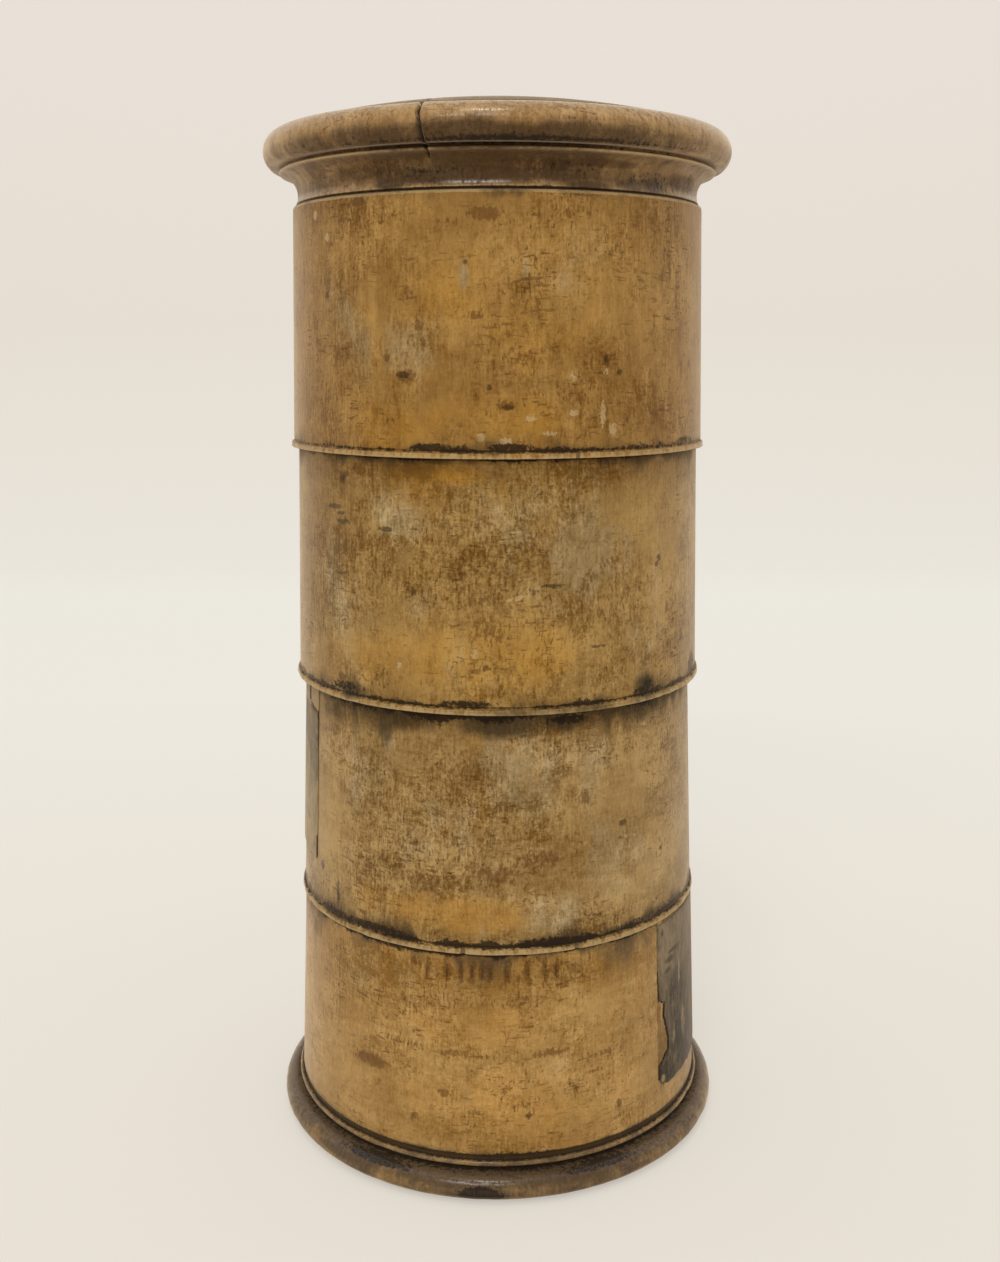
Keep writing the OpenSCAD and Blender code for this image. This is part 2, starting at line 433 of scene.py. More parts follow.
def wall_runs(low_r, low_z, start_z, rim_r, height, rings=WALL_RINGS):
    """Flaring wall up to its rim: straight from low_r at low_z to rim_r, with closer rings near its ends."""
    edge_z = height - RIM_ROUND
    slope = (rim_r - low_r) / (edge_z - low_z)

    def at(z):
        """Point of the wall at a height, on its straight line."""
        return low_r + slope * (z - low_z), z

    low_end, high_end = start_z + DIRTY_END, edge_z - DIRTY_END
    return [
        run(line(at(start_z), at(low_end), LOW_RINGS)),
        run(line(at(low_end), at(high_end), rings)),
        run(line(at(high_end), at(edge_z), HIGH_RINGS)),
    ]


@dataclass
class Drum:
    """One drum: its node and body, its seat and rim heights, its wall's radii, its rim's wear and its age."""
    node: str
    body: str
    seat: float
    rim: float
    low_r: float
    rim_r: float
    rim_wear: float
    age: Ageing


def drum_mesh(drum):
    """A drum from the middle of its spigot's end, over the bead, up the wall, over the rim and inside."""
    height = drum.rim - drum.seat
    bead_r = drum.low_r + BEAD_PROUD
    flat_r = bead_r - BEAD_EDGE
    face_top = (bead_r - BEAD_LEAN, BEAD_H - BEAD_EDGE)
    crevice_r = drum.low_r - CREVICE_SINK
    crevice_top = BEAD_H + CREVICE_W
    crevice_low = (crevice_r, BEAD_H + CREVICE_LOW)
    crevice_high = (crevice_r, crevice_top - CREVICE_HIGH)
    runs = [run(line((0.0, -SPIGOT_LEN), (SPIGOT_R - LEAD_IN, -SPIGOT_LEN), 5), inner=1.0)]
    runs += spigot_runs()
    runs += [
        run(line((SPIGOT_R, 0.0), (flat_r, 0.0), 6), inner=0.6, film=0.7),
        run(arc((flat_r, BEAD_EDGE), BEAD_EDGE, -90, 0, 4), grime=(1.2, 0.5), wear=(0.0, 0.6), edge=1.0),
        run(line((bead_r, BEAD_EDGE), face_top, 7), wear=(0.72, 0.45), edge=(1.0, 0.8)),
        run(line(face_top, crevice_low, 5), wear=(0.6, 0.0), grime=(0.0, 0.45), edge=(0.8, 0.0)),
        run(line(crevice_low, crevice_high, 3), grime=0.5),
        run(line(crevice_high, (drum.low_r, crevice_top), 3), grime=(0.5, 0.3)),
    ]
    runs += wall_runs(drum.low_r, BEAD_H, crevice_top, drum.rim_r, height)
    runs += mouth_runs(drum.rim_r, height, DRUM_FLOOR, drum.rim_wear)
    return turned_piece(drum.node, runs, (0.0, DRUM_FLOOR), drum.seat, drum.age)


# Lid

RECESS_R = 25.0
RECESS_H = 4.5
RECESS_ROUND = 1.0
LID_FOOT_ROUND = 0.5
LID_NECK_R = 35.5
LID_NECK_H = 1.85
LID_SCOTIA = 3.05
SCOTIA_TALL = 1.17
SCOTIA_END = 99.0
LID_LIP_R = 38.7
LIP_T = 0.45
LIP_ROUND = 0.16
LIP_LEAN = 0.05
GROOVE_DEPTH = 1.1
GROOVE_RISE = 0.08
GROOVE_GAP = 0.1
LID_R = 41.35
LID_ROUND = 3.35
ROUND_START = -52.0
ROUND_END = 78.0
DIP_IN = 0.4
DIP_DEPTH = 0.35
DIP_W = 1.2
DOME_RISE = 5.0

# Top of the lid's rim above its seat
RIM_TOP = LID_TOP - SEAT_LID - DOME_RISE


def lid_mesh(age):
    """The lid from the recess under it, round the spigot, to the seat, up its mouldings and over the dome."""
    recess = (RECESS_R - RECESS_ROUND, RECESS_H - RECESS_ROUND)
    scotia = (LID_NECK_R + LID_SCOTIA, LID_NECK_H)
    foot_angle = 180.0 + np.degrees(np.arcsin((LID_NECK_H - LID_FOOT_ROUND) / LID_SCOTIA))
    foot = (on_arc(scotia, LID_SCOTIA, foot_angle)[0] - LID_FOOT_ROUND, LID_FOOT_ROUND)
    scotia_top = on_arc(scotia, LID_SCOTIA, SCOTIA_END, SCOTIA_TALL)
    lip_z = LID_NECK_H + LID_SCOTIA * SCOTIA_TALL
    lip_top = lip_z + LIP_T
    lip = (LID_LIP_R - LIP_ROUND, lip_top - LIP_ROUND)
    lip_low = (lip[0], lip_z + LIP_LEAN)
    rim = (LID_R - LID_ROUND, RIM_TOP - LID_ROUND)
    under = on_arc(rim, LID_ROUND, ROUND_START)
    groove_low = (LID_LIP_R - GROOVE_DEPTH, lip_top + GROOVE_RISE)
    groove_high = (LID_LIP_R - GROOVE_DEPTH, under[1] + GROOVE_GAP)
    dip = (rim[0] - DIP_IN, RIM_TOP - DIP_DEPTH)
    dome_r = (rim[0] ** 2 + DOME_RISE ** 2) / (2.0 * DOME_RISE)
    dome = (0.0, RIM_TOP + DOME_RISE - dome_r)
    dome_angle = np.degrees(np.arccos((rim[0] - DIP_W) / dome_r))
    runs = [
        run(line((0.0, RECESS_H), (recess[0], RECESS_H), 5), inner=1.0),
        run(arc(recess, RECESS_ROUND, 90, 0, 4), inner=1.0),
        run(line((RECESS_R, recess[1]), (RECESS_R, -SPIGOT_LEN), 6), inner=1.0),
        run(line((RECESS_R, -SPIGOT_LEN), (SPIGOT_R - LEAD_IN, -SPIGOT_LEN), 4), inner=1.0),
    ]
    runs += spigot_runs()
    runs += [
        run(line((SPIGOT_R, 0.0), (foot[0], 0.0), 5), inner=0.6, grime=1.0),
        run(arc(foot, LID_FOOT_ROUND, -90, -10, 6), grime=(1.6, 1.2), edge=0.3),
        run(arc(foot, LID_FOOT_ROUND, -10, 0, 2), wear=(0.3, 0.5), edge=0.3),
        run(arc(scotia, LID_SCOTIA, foot_angle, 196, 8), wear=(0.5, 0.2), film=(0.2, 0.6), polish=(0.8, 1.0)),
        # The hollow moulding darkens with film towards its top: painted shade under the rim's overhang as
        # well as dirt
        run(arc(scotia, LID_SCOTIA, 196, 180, 8), film=(0.6, 0.95), polish=(1.0, 0.3)),
        run(arc(scotia, LID_SCOTIA, 180, 150, 14, SCOTIA_TALL), film=(0.95, 0.75), polish=(0.3, 0.0)),
        run(arc(scotia, LID_SCOTIA, 150, SCOTIA_END, 22, SCOTIA_TALL), film=(0.75, 1.2)),
        run(line(scotia_top, lip_low, 4), film=(1.0, 0.5)),
        run(line(lip_low, (LID_LIP_R, lip[1]), 4), wear=(0.4, 1.0), edge=0.6),
        run(arc(lip, LIP_ROUND, 0, 90, 4), wear=(1.0, 0.6), edge=0.6),
        # The groove and the underside of the rounded rim are darkened with film and grime: painted shade
        # under the rim's overhang as well as dirt, fading out just above the rim's widest part
        run(line((lip[0], lip_top), groove_low, 4), film=(0.6, 0.8)),
        run(line(groove_low, groove_high, 4), film=0.8, grime=0.3),
        run(line(groove_high, under, 6), film=(0.8, 0.9), grime=(0.3, 0.0)),
        run(arc(rim, LID_ROUND, ROUND_START, -38, 8), film=(0.9, 1.1)),
        run(arc(rim, LID_ROUND, -38, -15, 12), film=(1.1, 1.0), grime=(0.35, 0.1), polish=0.15),
        run(arc(rim, LID_ROUND, -15, 8, 12), film=(1.0, 0.35), polish=0.25),
        run(arc(rim, LID_ROUND, 8, 30, 8), film=(0.35, 0.0), polish=(0.3, 0.9)),
        run(arc(rim, LID_ROUND, 30, ROUND_END, 14), wear=(0.0, 0.6), polish=(0.9, 1.0)),
        # The dip and the dome are darkened with film: dirt, and painted shade on the dome's upward face
        run(line(on_arc(rim, LID_ROUND, ROUND_END), dip, 3), film=(0.3, 1.0)),
        run(line(dip, on_arc(dome, dome_r, dome_angle), 3), film=1.0),
        run(arc(dome, dome_r, dome_angle, 90, 40), film=(0.9, 0.4), polish=(0.0, 0.4)),
    ]
    turn = uneven_steps(CRACK_ANGLE, CRACK_TURN, CRACK_CROWDING)
    return turned_piece("lid", runs, (0.0, LID_TOP - SEAT_LID), SEAT_LID, age, turn=turn, carve=open_crack)


# Drying crack in the lid: its place, the steps drawn to it, its slit, and where that ends and fades
CRACK_ANGLE = -16.4
CRACK_SLANT = 0.10
CRACK_RUN = 30.0
CRACK_PATH = [(0.0, 0.0), (2.0, -0.4), (3.7, -0.15), (6.3, 0.3), (9.2, 1.1)]
CRACK_TURN = 3.0
CRACK_CROWDING = 10.0
CRACK_PULL = 16.0
CRACK_LEAD = 4.0
CRACK_PULL_LOW = 0.5
CRACK_WIDTH = 0.22
CRACK_DEPTH = 2.2
CRACK_GRIME = 1.5
CRACK_LOW = 4.4
CRACK_LOW_FADE = 1.5
CRACK_END_R = 19.0
CRACK_END_FADE = 8.0
DOME_MARGIN = 1.0
DOME_BLEND = 1.5

# Limits that keep the crack's angle defined near the axis
LEAST_R = 1e-6
MOST_SINE = 0.999


def open_crack(swept, rise, turn):
    """Opens the lid's drying crack: a narrow bell-shaped slit along a chord, deepest at the rim.

    Steps near the crack are first turned to follow the chord, and on the side the path of (depth below the
    rim's top, shift) corners. Then the radius on the rim and the height on the dome drop by the slit's depth,
    which fades towards the middle of the dome and down the hollow moulding.
    """
    chord_x = LID_R * np.sin(radians(CRACK_ANGLE)) + CRACK_SLANT * np.clip(LID_R - swept, 0.0, CRACK_RUN)
    on_side = swept > LID_R - 2.0 * LID_ROUND
    wander = along(RIM_TOP - rise, CRACK_PATH) * on_side
    sine = np.clip((chord_x + wander) / np.maximum(swept, LEAST_R), -MOST_SINE, MOST_SINE)
    near = np.exp(-(nearest_turn(turn, CRACK_ANGLE) / radians(CRACK_PULL)) ** 2)
    outer = (swept > CRACK_END_R - CRACK_LEAD) & (rise > CRACK_PULL_LOW)
    follow = np.where(outer, np.arcsin(sine) - radians(CRACK_ANGLE), 0.0)
    off = nearest_turn(turn, CRACK_ANGLE) * swept
    low_fade = np.clip((rise - CRACK_LOW) / CRACK_LOW_FADE, 0.0, 1.0)
    dome_fade = np.clip((swept - CRACK_END_R) / CRACK_END_FADE, 0.0, 1.0)
    bell = np.exp(-(off / CRACK_WIDTH) ** 2) * low_fade * dome_fade
    slit = CRACK_DEPTH * bell
    on_dome = np.clip((rise - RIM_TOP + DOME_MARGIN) / DOME_BLEND, 0.0, 1.0)
    return swept - slit * (1.0 - on_dome), -slit * on_dome, turn + follow * near, CRACK_GRIME * bell


# Base drum

BASE_LOW_R = 39.4
BASE_RIM_R = 37.85
BASE_FLOOR = 9.0
BASE_RINGS = 44
FOOT_R = 43.05
FOOT_ROUND = 2.45
FOOT_UNDERCUT = 4.2
FOOT_FALL = 0.1
FOOT_GAP = 1.0
FOOT_RING_T = 1.0
FOOT_RING_PROUD = 0.7
FOOT_RING_ROUND = 0.45
FOOT_QUIRK_W = 1.3
QUIRK_SINK = 0.12
QUIRK_LOW = 0.15
QUIRK_HIGH = 0.5
WALL_LAP = 0.2
UNDER_R = 33.0
UNDER_H = 1.2

# Top of the foot, underside of its thin ring, quirk above that and start of the wall
FOOT_TOP = 2.0 * FOOT_ROUND
RING_LOW = FOOT_TOP + FOOT_GAP
QUIRK_Z = RING_LOW + FOOT_RING_T
BASE_WALL_LOW = QUIRK_Z + FOOT_QUIRK_W


def base_mesh(age):
    """The base drum from the recess under it, round the foot, over the ring, up the wall and down inside."""
    upper = (FOOT_R - FOOT_ROUND, FOOT_ROUND)
    lower = (FOOT_R - FOOT_UNDERCUT, FOOT_ROUND)
    flatness = FOOT_ROUND / FOOT_UNDERCUT
    ring = (BASE_LOW_R + FOOT_RING_PROUD - FOOT_RING_ROUND, RING_LOW + FOOT_RING_ROUND)
    quirk_r = BASE_LOW_R - QUIRK_SINK
    foot_in = (quirk_r, FOOT_TOP + FOOT_FALL)
    ring_in = (BASE_LOW_R, RING_LOW)
    quirk_low = (quirk_r, QUIRK_Z + QUIRK_LOW)
    quirk_high = (quirk_r, BASE_WALL_LOW - QUIRK_HIGH)
    wall_start = BASE_WALL_LOW - WALL_LAP
    under_in = UNDER_R - UNDER_H
    runs = [
        run(line((0.0, UNDER_H), (under_in, UNDER_H), 5), inner=1.0),
        run(line((under_in, UNDER_H), (UNDER_R, 0.0), 3), inner=1.0),
        run(line((UNDER_R, 0.0), (lower[0], 0.0), 6), inner=0.6, grime=0.3),
        run(arc(lower, FOOT_UNDERCUT, -90, -40, 10, flatness), film=(1.4, 0.9), edge=(0.0, 0.5)),
        run(arc(lower, FOOT_UNDERCUT, -40, 0, 12, flatness), film=(0.9, 0.75), wear=(0.1, 0.3), edge=0.5),
        run(arc(upper, FOOT_ROUND, 0, 20, 8), film=(0.75, 0.8), wear=(0.3, 0.2), edge=0.5, polish=(0.3, 0.6)),
        run(arc(upper, FOOT_ROUND, 20, 45, 8), film=(0.8, 1.0), wear=(0.2, 0.0), edge=0.5, polish=(0.6, 1.0)),
        run(arc(upper, FOOT_ROUND, 45, 70, 8), film=(1.0, 1.3), polish=1.0),
        run(arc(upper, FOOT_ROUND, 70, 90, 6), film=1.4, grime=(0.0, 0.35), polish=(1.0, 0.3)),
        run(line((upper[0], FOOT_TOP), foot_in, 5), film=1.4, grime=(0.35, 0.6)),
        run(line(foot_in, ring_in, 3), film=1.2, grime=0.8),
        run(line(ring_in, (ring[0], RING_LOW), 2), film=1.2, grime=0.8),
        run(arc(ring, FOOT_RING_ROUND, -90, -20, 5), film=0.65, grime=(0.5, 0.0), edge=0.6),
        run(arc(ring, FOOT_RING_ROUND, -20, 70, 7), wear=0.35, film=0.65, edge=0.6, polish=0.9),
        run(line(on_arc(ring, FOOT_RING_ROUND, 70), quirk_low, 5), film=0.8, grime=(0.3, 1.1)),
        run(line(quirk_low, quirk_high, 3), grime=1.1),
        run(line(quirk_high, (BASE_LOW_R, wall_start), 2), grime=(1.1, 0.6)),
    ]
    runs += wall_runs(BASE_LOW_R, BASE_WALL_LOW, wall_start, BASE_RIM_R, SEAT_THIRD, BASE_RINGS)
    runs += mouth_runs(BASE_RIM_R, SEAT_THIRD, BASE_FLOOR, DIRTY_RIM)
    return turned_piece("base_section", runs, (0.0, BASE_FLOOR), 0.0, age)


# Paper labels

PASTE = 0.05
PAPER_T = 0.2
LABEL_ACROSS = 240
LABEL_UP = 140
LABEL_CROWDING = 1.5

# Waves of a label's edges: their orders, how fast these weaken, and sizes at the sides and the bottom
EDGE_ORDERS = np.arange(3, 30) * 2.3
EDGE_FALL = 0.4
EDGE_WAVE = 0.05
BOTTOM_WAVE = 0.16
CORNER_W = 1.6

# Thinning of the paper at its edges and where its top layer is gone
THIN_SHARE = 0.7
THIN_W = 0.35
PEELED_T = 0.4

# Tear: least depth that counts, its ripples, its softness, and the black gash along it, of dirt and painted
# shadow
TEAR_LEAST = 0.3
RIPPLE = 0.12
RIPPLES = 9.0
TEAR_SOFT = 0.05
GASH_OFF = 0.1
GASH_W = 0.3
EDGE_LINE_W = 0.32


@dataclass
class Label:
    """Remains of a pasted label: its node and body, the wall that it is on, its place there, and its marks.

    The tear is how far the top layer is peeled off from the edge nearest the front, as (height, depth)
    corners in mm. The tones are (height, lightness) corners, and the edge line is (height, strength) corners
    down the edge nearest the front, a dark line of dirt and painted shadow. The corner is how far the lower
    left corner is worn away.
    """
    node: str
    body: str
    seat: float
    low_r: float
    low_z: float
    rim_r: float
    rim_z: float
    left: float
    right: float
    low: float
    high: float
    corner: float
    seed: int
    tear: list
    tones: list
    edge_line_and_shadow: list
    dark: list
    pale: list


def sheet_mesh(name, outside, inside):
    """Closed mesh of a thin sheet from two grids of points: its two faces, joined all round by its edges."""
    up, across = outside.shape[:2]
    count = up * across
    corners = np.concatenate([outside.reshape(-1, 3), inside.reshape(-1, 3)]) * MM
    index = np.arange(count).reshape(up, across)
    quads = [index[:-1, :-1], index[:-1, 1:], index[1:, 1:], index[1:, :-1]]
    front = np.stack(quads, axis=-1).reshape(-1, 4)
    back = front[:, ::-1] + count
    loop = np.concatenate([index[0, :-1], index[:-1, -1], index[-1, :0:-1], index[:0:-1, 0]])
    onward = np.roll(loop, -1)
    sides = np.stack([loop, loop + count, onward + count, onward], axis=-1)
    mesh = bpy.data.meshes.new(name)
    mesh.from_pydata(corners, [], np.concatenate([front, back, sides]).tolist())
    smooth = np.repeat([True, False], [len(front) + len(back), len(sides)])
    mesh.polygons.foreach_set("use_smooth", smooth)
    return mesh


def label_mesh(label):
    """A thin curved sheet on a flaring wall: angle across by height up, inside and outside faces.

    All four edges have fine seeded waves, largest along the bottom, and thin out. Between its front edge and
    the tear the sheet is less than half as thick, where its top layer has come away.
    """
    front_first = abs(label.left) < abs(label.right)
    u = np.linspace(0.0, 1.0, LABEL_ACROSS)[None, :]
    u = u ** LABEL_CROWDING if front_first else 1.0 - (1.0 - u) ** LABEL_CROWDING
    v = np.linspace(0.0, 1.0, LABEL_UP)[:, None]
    rng = np.random.default_rng(label.seed)
    phases = rng.uniform(0.0, 2.0 * np.pi, (4, EDGE_ORDERS.size))

    def waves(t, which, size):
        """Waves of one edge along t: cosines with seeded phases, weaker at higher orders."""
        cosines = np.cos(t[..., None] * EDGE_ORDERS * np.pi + phases[which])
        return size * (cosines / EDGE_ORDERS ** EDGE_FALL).sum(-1)

    degree = label.low_r * np.pi / 180.0
    wide = (label.right - label.left) * degree
    left = label.left + waves(v, 0, EDGE_WAVE) / degree
    right = label.right - waves(v, 1, EDGE_WAVE) / degree
    turn = np.radians(left + u * (right - left))
    low = label.low + waves(u, 2, BOTTOM_WAVE) + label.corner * np.exp(-(u * wide / CORNER_W) ** 2)
    height = low + v * (label.high + waves(u, 3, EDGE_WAVE) - low)
    slope = (label.rim_r - label.low_r) / (label.rim_z - label.low_z)
    inside = label.low_r + slope * (height - label.low_z) + PASTE
    front_edge = np.broadcast_to((u if front_first else 1.0 - u) * wide, height.shape)
    rim = np.minimum(np.minimum(u, 1.0 - u) * wide, np.minimum(v, 1.0 - v) * (label.high - label.low))
    depth = along(height, label.tear)
    depth = depth + RIPPLE * np.sin(RIPPLES * height) * (depth > TEAR_LEAST)
    torn = depth > TEAR_LEAST
    beyond = front_edge - depth
    whole = np.where(torn, 1.0 / (1.0 + np.exp(-beyond / TEAR_SOFT)), 1.0)
    thickness = PAPER_T * (PEELED_T + (1.0 - PEELED_T) * whole) * (1.0 - THIN_SHARE * np.exp(-rim / THIN_W))

    def placed(radius):
        """Points of the sheet at a radius: its turns and heights carried round the axis."""
        return np.stack([radius * np.sin(turn), -radius * np.cos(turn), height + label.seat], axis=-1)

    mesh = sheet_mesh(label.node, placed(inside + thickness), placed(inside))
    masks = {
        # The front edge's line and the gash along the tear are dark lines of dirt and painted shadow
        "edge_line_and_shadow": np.exp(-(front_edge / EDGE_LINE_W) ** 2) * along(height, label.edge_line_and_shadow),
        "tone": along(height, label.tones),
        "peeled": 1.0 - whole,
        "gash_and_shadow": np.exp(-((beyond - GASH_OFF) / GASH_W) ** 2) * torn,
        "dark": blots(turn, height, label.low_r, label.dark),
        "pale": blots(turn, height, label.low_r, label.pale),
    }
    for key, grid in masks.items():
        set_values(mesh, key, np.tile(grid.ravel(), 2))
    mesh.update()
    return mesh


# Shader helpers

def fill(tree, node, inputs):
    """Links or sets the inputs of a node."""
    for key, value in inputs.items():
        if isinstance(value, bpy.types.NodeSocket):
            tree.links.new(value, node.inputs[key])
        else:
            node.inputs[key].default_value = value


def put(tree, kind, inputs=None, **settings):
    """Adds a node, sets its settings, and links or sets its inputs."""
    node = tree.nodes.new(kind)
    for key, value in settings.items():
        setattr(node, key, value)
    fill(tree, node, inputs or {})
    return node


def maths(tree, operation, first, second=0.0, clamp=False):
    """Result of a maths node on two values."""
    node = put(tree, "ShaderNodeMath", {0: first, 1: second}, operation=operation, use_clamp=clamp)
    return node.outputs[0]


def times(tree, first, second):
    """Product of two values."""
    return maths(tree, "MULTIPLY", first, second)


def mixed(tree, factor, first, second, blend="MIX"):
    """Colour mixed from first to second by factor."""
    node = put(tree, "ShaderNodeMix", {0: factor, 6: first, 7: second}, data_type="RGBA", blend_type=blend)
    return node.outputs[2]


def laid(tree, under, over, mask, depth):
    """Colour under with colour over laid on it where the mask is, up to the given depth."""
    return mixed(tree, times(tree, mask, depth), under, over)


def ramp(tree, value, low, high, to_low=0.0, to_high=1.0):
    """Value mapped smoothly from the range low to high."""
    inputs = {"Value": value, "From Min": low, "From Max": high, "To Min": to_low, "To Max": to_high}
    return put(tree, "ShaderNodeMapRange", inputs, interpolation_type="SMOOTHSTEP").outputs[0]


def stretched(tree, vector, scale):
    """Vector multiplied axis by axis."""
    return put(tree, "ShaderNodeVectorMath", {0: vector, 1: scale}, operation="MULTIPLY").outputs[0]


def noise(tree, vector, scale, detail=3.0, rough=0.55, distortion=0.0):
    """Noise value of a vector."""
    inputs = {"Vector": vector, "Scale": scale, "Detail": detail, "Roughness": rough}
    return put(tree, "ShaderNodeTexNoise", inputs | {"Distortion": distortion}).outputs[0]


def attribute(tree, name):
    """Value of a mesh attribute."""
    return put(tree, "ShaderNodeAttribute", attribute_name=name).outputs["Fac"]


def weighted(tree, level, *terms):
    """Level plus the sum of each (value, weight), with every value taken from its middle at one half."""
    total = level
    for value, weight in terms:
        part = times(tree, maths(tree, "SUBTRACT", value, 0.5), weight)
        total = maths(tree, "ADD", part, total)
    return total


def group(name, inputs, outputs):
    """A new shader node group with named sockets, and its input and output nodes."""
    tree = bpy.data.node_groups.new(name, "ShaderNodeTree")
    for socket, kind in inputs:
        tree.interface.new_socket(socket, in_out="INPUT", socket_type=kind)
    for socket, kind in outputs:
        tree.interface.new_socket(socket, in_out="OUTPUT", socket_type=kind)
    return tree, tree.nodes.new("NodeGroupInput"), tree.nodes.new("NodeGroupOutput")


def rgb(red, green, blue):
    """Linear colour with alpha from an sRGB triple of 0 to 255."""
    c = np.array([red, green, blue]) / 255.0
    lin = np.where(c <= 0.04045, c / 12.92, ((c + 0.055) / 1.055) ** 2.4)
    return (*[float(x) for x in lin], 1.0)


def darker(colour, fall):
    """An sRGB colour with every channel lower by the same fall."""
    return tuple(max(channel - fall, 0.0) for channel in colour)


def material(name):
    """An empty material with its tree, its shader and its output linked."""
    made = bpy.data.materials.new(name)
    made.use_nodes = True
    tree = made.node_tree
    tree.nodes.clear()
    shader = put(tree, "ShaderNodeBsdfPrincipled")
    put(tree, "ShaderNodeOutputMaterial", {"Surface": shader.outputs[0]})
    return made, tree, shader


# Shared patterns

FLOAT, VECTOR = "NodeSocketFloat", "NodeSocketVector"

# How far patterns are drawn out up the grain, as factors on the axes, and round the turning
STREAKED = (1.0, 1.0, 0.12)
FIBROUS = (1.0, 1.0, 0.2)
DASHED = (1.0, 1.0, 0.35)
TALL = (1.0, 1.0, 0.5)
UPRIGHT = (1.0, 1.0, 0.8)
SCORED = (0.2, 0.2, 1.0)
BANDED = (0.25, 0.25, 1.0)
LATHED = (0.03, 0.03, 1.0)

# Share of slow patches in the threshold of the pores, and its soft range
PORE_PATCHES = 0.35
PORE_RANGE = (0.82, 0.88)

# Range over which a broken mask sets in, so that it never shows where there is none
MASK_GATE = (0.02, 0.2)


def grain_group():
    """Sycamore grain along Z, as noises: tone, streaks, fibre, grit, pores, turning lines and broad bands.

    The pores are short dashes up the grain and scores round the turning, where they pass a threshold.
    """
    names = ("Tone", "Streaks", "Fibre", "Grit", "Pores", "Turning", "Bands")
    inputs = [("Vector", VECTOR), ("Lay", FLOAT)]
    tree, start, end = group("sycamore_grain", inputs, [(name, FLOAT) for name in names])
    place = start.outputs["Vector"]
    lay = put(tree, "ShaderNodeCombineXYZ", {0: 1.0, 1: 1.0, 2: start.outputs["Lay"]}).outputs[0]
    dashes = noise(tree, stretched(tree, place, DASHED), 2300.0, detail=2.0, rough=0.5)
    scores = noise(tree, stretched(tree, place, SCORED), 2000.0, detail=2.0, rough=0.5)
    patches = noise(tree, place, 90.0, detail=2.0, rough=0.5)
    flecks = maths(tree, "ADD", maths(tree, "MAXIMUM", dashes, scores), times(tree, patches, PORE_PATCHES))
    made = {
        "Tone": noise(tree, stretched(tree, place, lay), 130.0, detail=6.0, rough=0.9, distortion=0.2),
        "Streaks": noise(tree, stretched(tree, place, STREAKED), 520.0, detail=4.0, rough=0.6),
        "Fibre": noise(tree, stretched(tree, place, FIBROUS), 2300.0, detail=3.0, rough=0.6),
        "Grit": noise(tree, place, 1900.0, detail=3.0, rough=0.7),
        "Pores": ramp(tree, flecks, *PORE_RANGE),
        "Turning": noise(tree, stretched(tree, place, LATHED), 2200.0, detail=3.0, rough=0.65),
        "Bands": noise(tree, stretched(tree, place, BANDED), 150.0, detail=4.0, rough=0.6, distortion=0.3),
    }
    for name in names:
        tree.links.new(made[name], end.inputs[name])
    return tree


def ragged_group():
    """Breaks up a soft mask: where the mask and a noise together pass a threshold, with a soft margin."""
    names = ("Mask", "Scale", "Break", "Margin")
    inputs = [("Vector", VECTOR)] + [(name, FLOAT) for name in names]
    tree, start, end = group("ragged_mask", inputs, [("Mask", FLOAT)])
    mask, margin = start.outputs["Mask"], start.outputs["Margin"]
    rough = noise(tree, start.outputs["Vector"], start.outputs["Scale"], detail=4.0, rough=0.65)
    level = weighted(tree, mask, (rough, start.outputs["Break"]))
    cut = ramp(tree, level, maths(tree, "SUBTRACT", 0.5, margin), maths(tree, "ADD", 0.5, margin))
    tree.links.new(times(tree, cut, ramp(tree, mask, *MASK_GATE)), end.inputs["Mask"])
    return tree


GRAIN = grain_group()
RAGGED = ragged_group()


def ragged(tree, name, place, scale, breakup, margin):
    """A mark's mask, from the attribute of that name, broken up by the shared group."""
    mask = attribute(tree, name)
    inputs = {"Mask": mask, "Vector": place, "Scale": scale, "Break": breakup, "Margin": margin}
    return put(tree, "ShaderNodeGroup", inputs, node_tree=RAGGED).outputs["Mask"]


# Waxed wood

# Colours of the marks: the darkest also paints shade under the mouldings, and the bare wood's also a few
# glints
GRIME_AND_SHADE = rgb(34, 22, 8)
NICK = rgb(38, 22, 6)
STAIN = rgb(88, 50, 4)
BARE_AND_GLINT = rgb(180, 153, 108)
PORE = rgb(72, 38, 0)
INSIDE = rgb(128, 96, 60)
BLOOM = rgb(210, 192, 168)

# Share of the ground's fall that a warm patch keeps
SMOOTH_WARM = 0.45

# Depths to which the patches and marks take over the colour below
PATCH_DEPTH = 0.85
PORE_DEPTH = 0.45
STAIN_DEPTH = 0.6
SCRATCH_AND_GLINT_DEPTH = 0.75
WEAR_DEPTH = 0.7
NICK_DEPTH = 0.65
FILM_AND_SHADE_DEPTH = 0.85
GRIME_AND_SHADE_DEPTH = 0.9
INSIDE_DEPTH = 0.75

# Range of the patches' set-in, and calm and busy shares of the fine detail
PATCH_RANGE = (0.1, 1.0)
BUSY_SHARES = (0.5, 1.35)

# Gloss: how much the dirt dulls it, the wax's own highlights, and the pale bloom at grazing angles
DIRT_DULLS = 0.35
WOOD_SPECULAR = 0.15
WAX_ROUGH = 0.22
WAX_BLOOM = 0.8
BLOOM_SPREAD = 0.35

# Relief of the wood's surface
RELIEF = 0.4
WOOD_RELIEF_H = 0.00025


@dataclass
class Finish:
    """Colours of one waxed turning, how far its ground darkens, and how much it shows of each mark."""
    light: tuple
    fall: float
    warm: tuple
    grey: tuple
    soot_and_shade: tuple
    greyness: float
    mottle: float
    specks: float
    rough: float
    contrast: float
    lay: float
    bands: float
    streaks: float
    shift: tuple


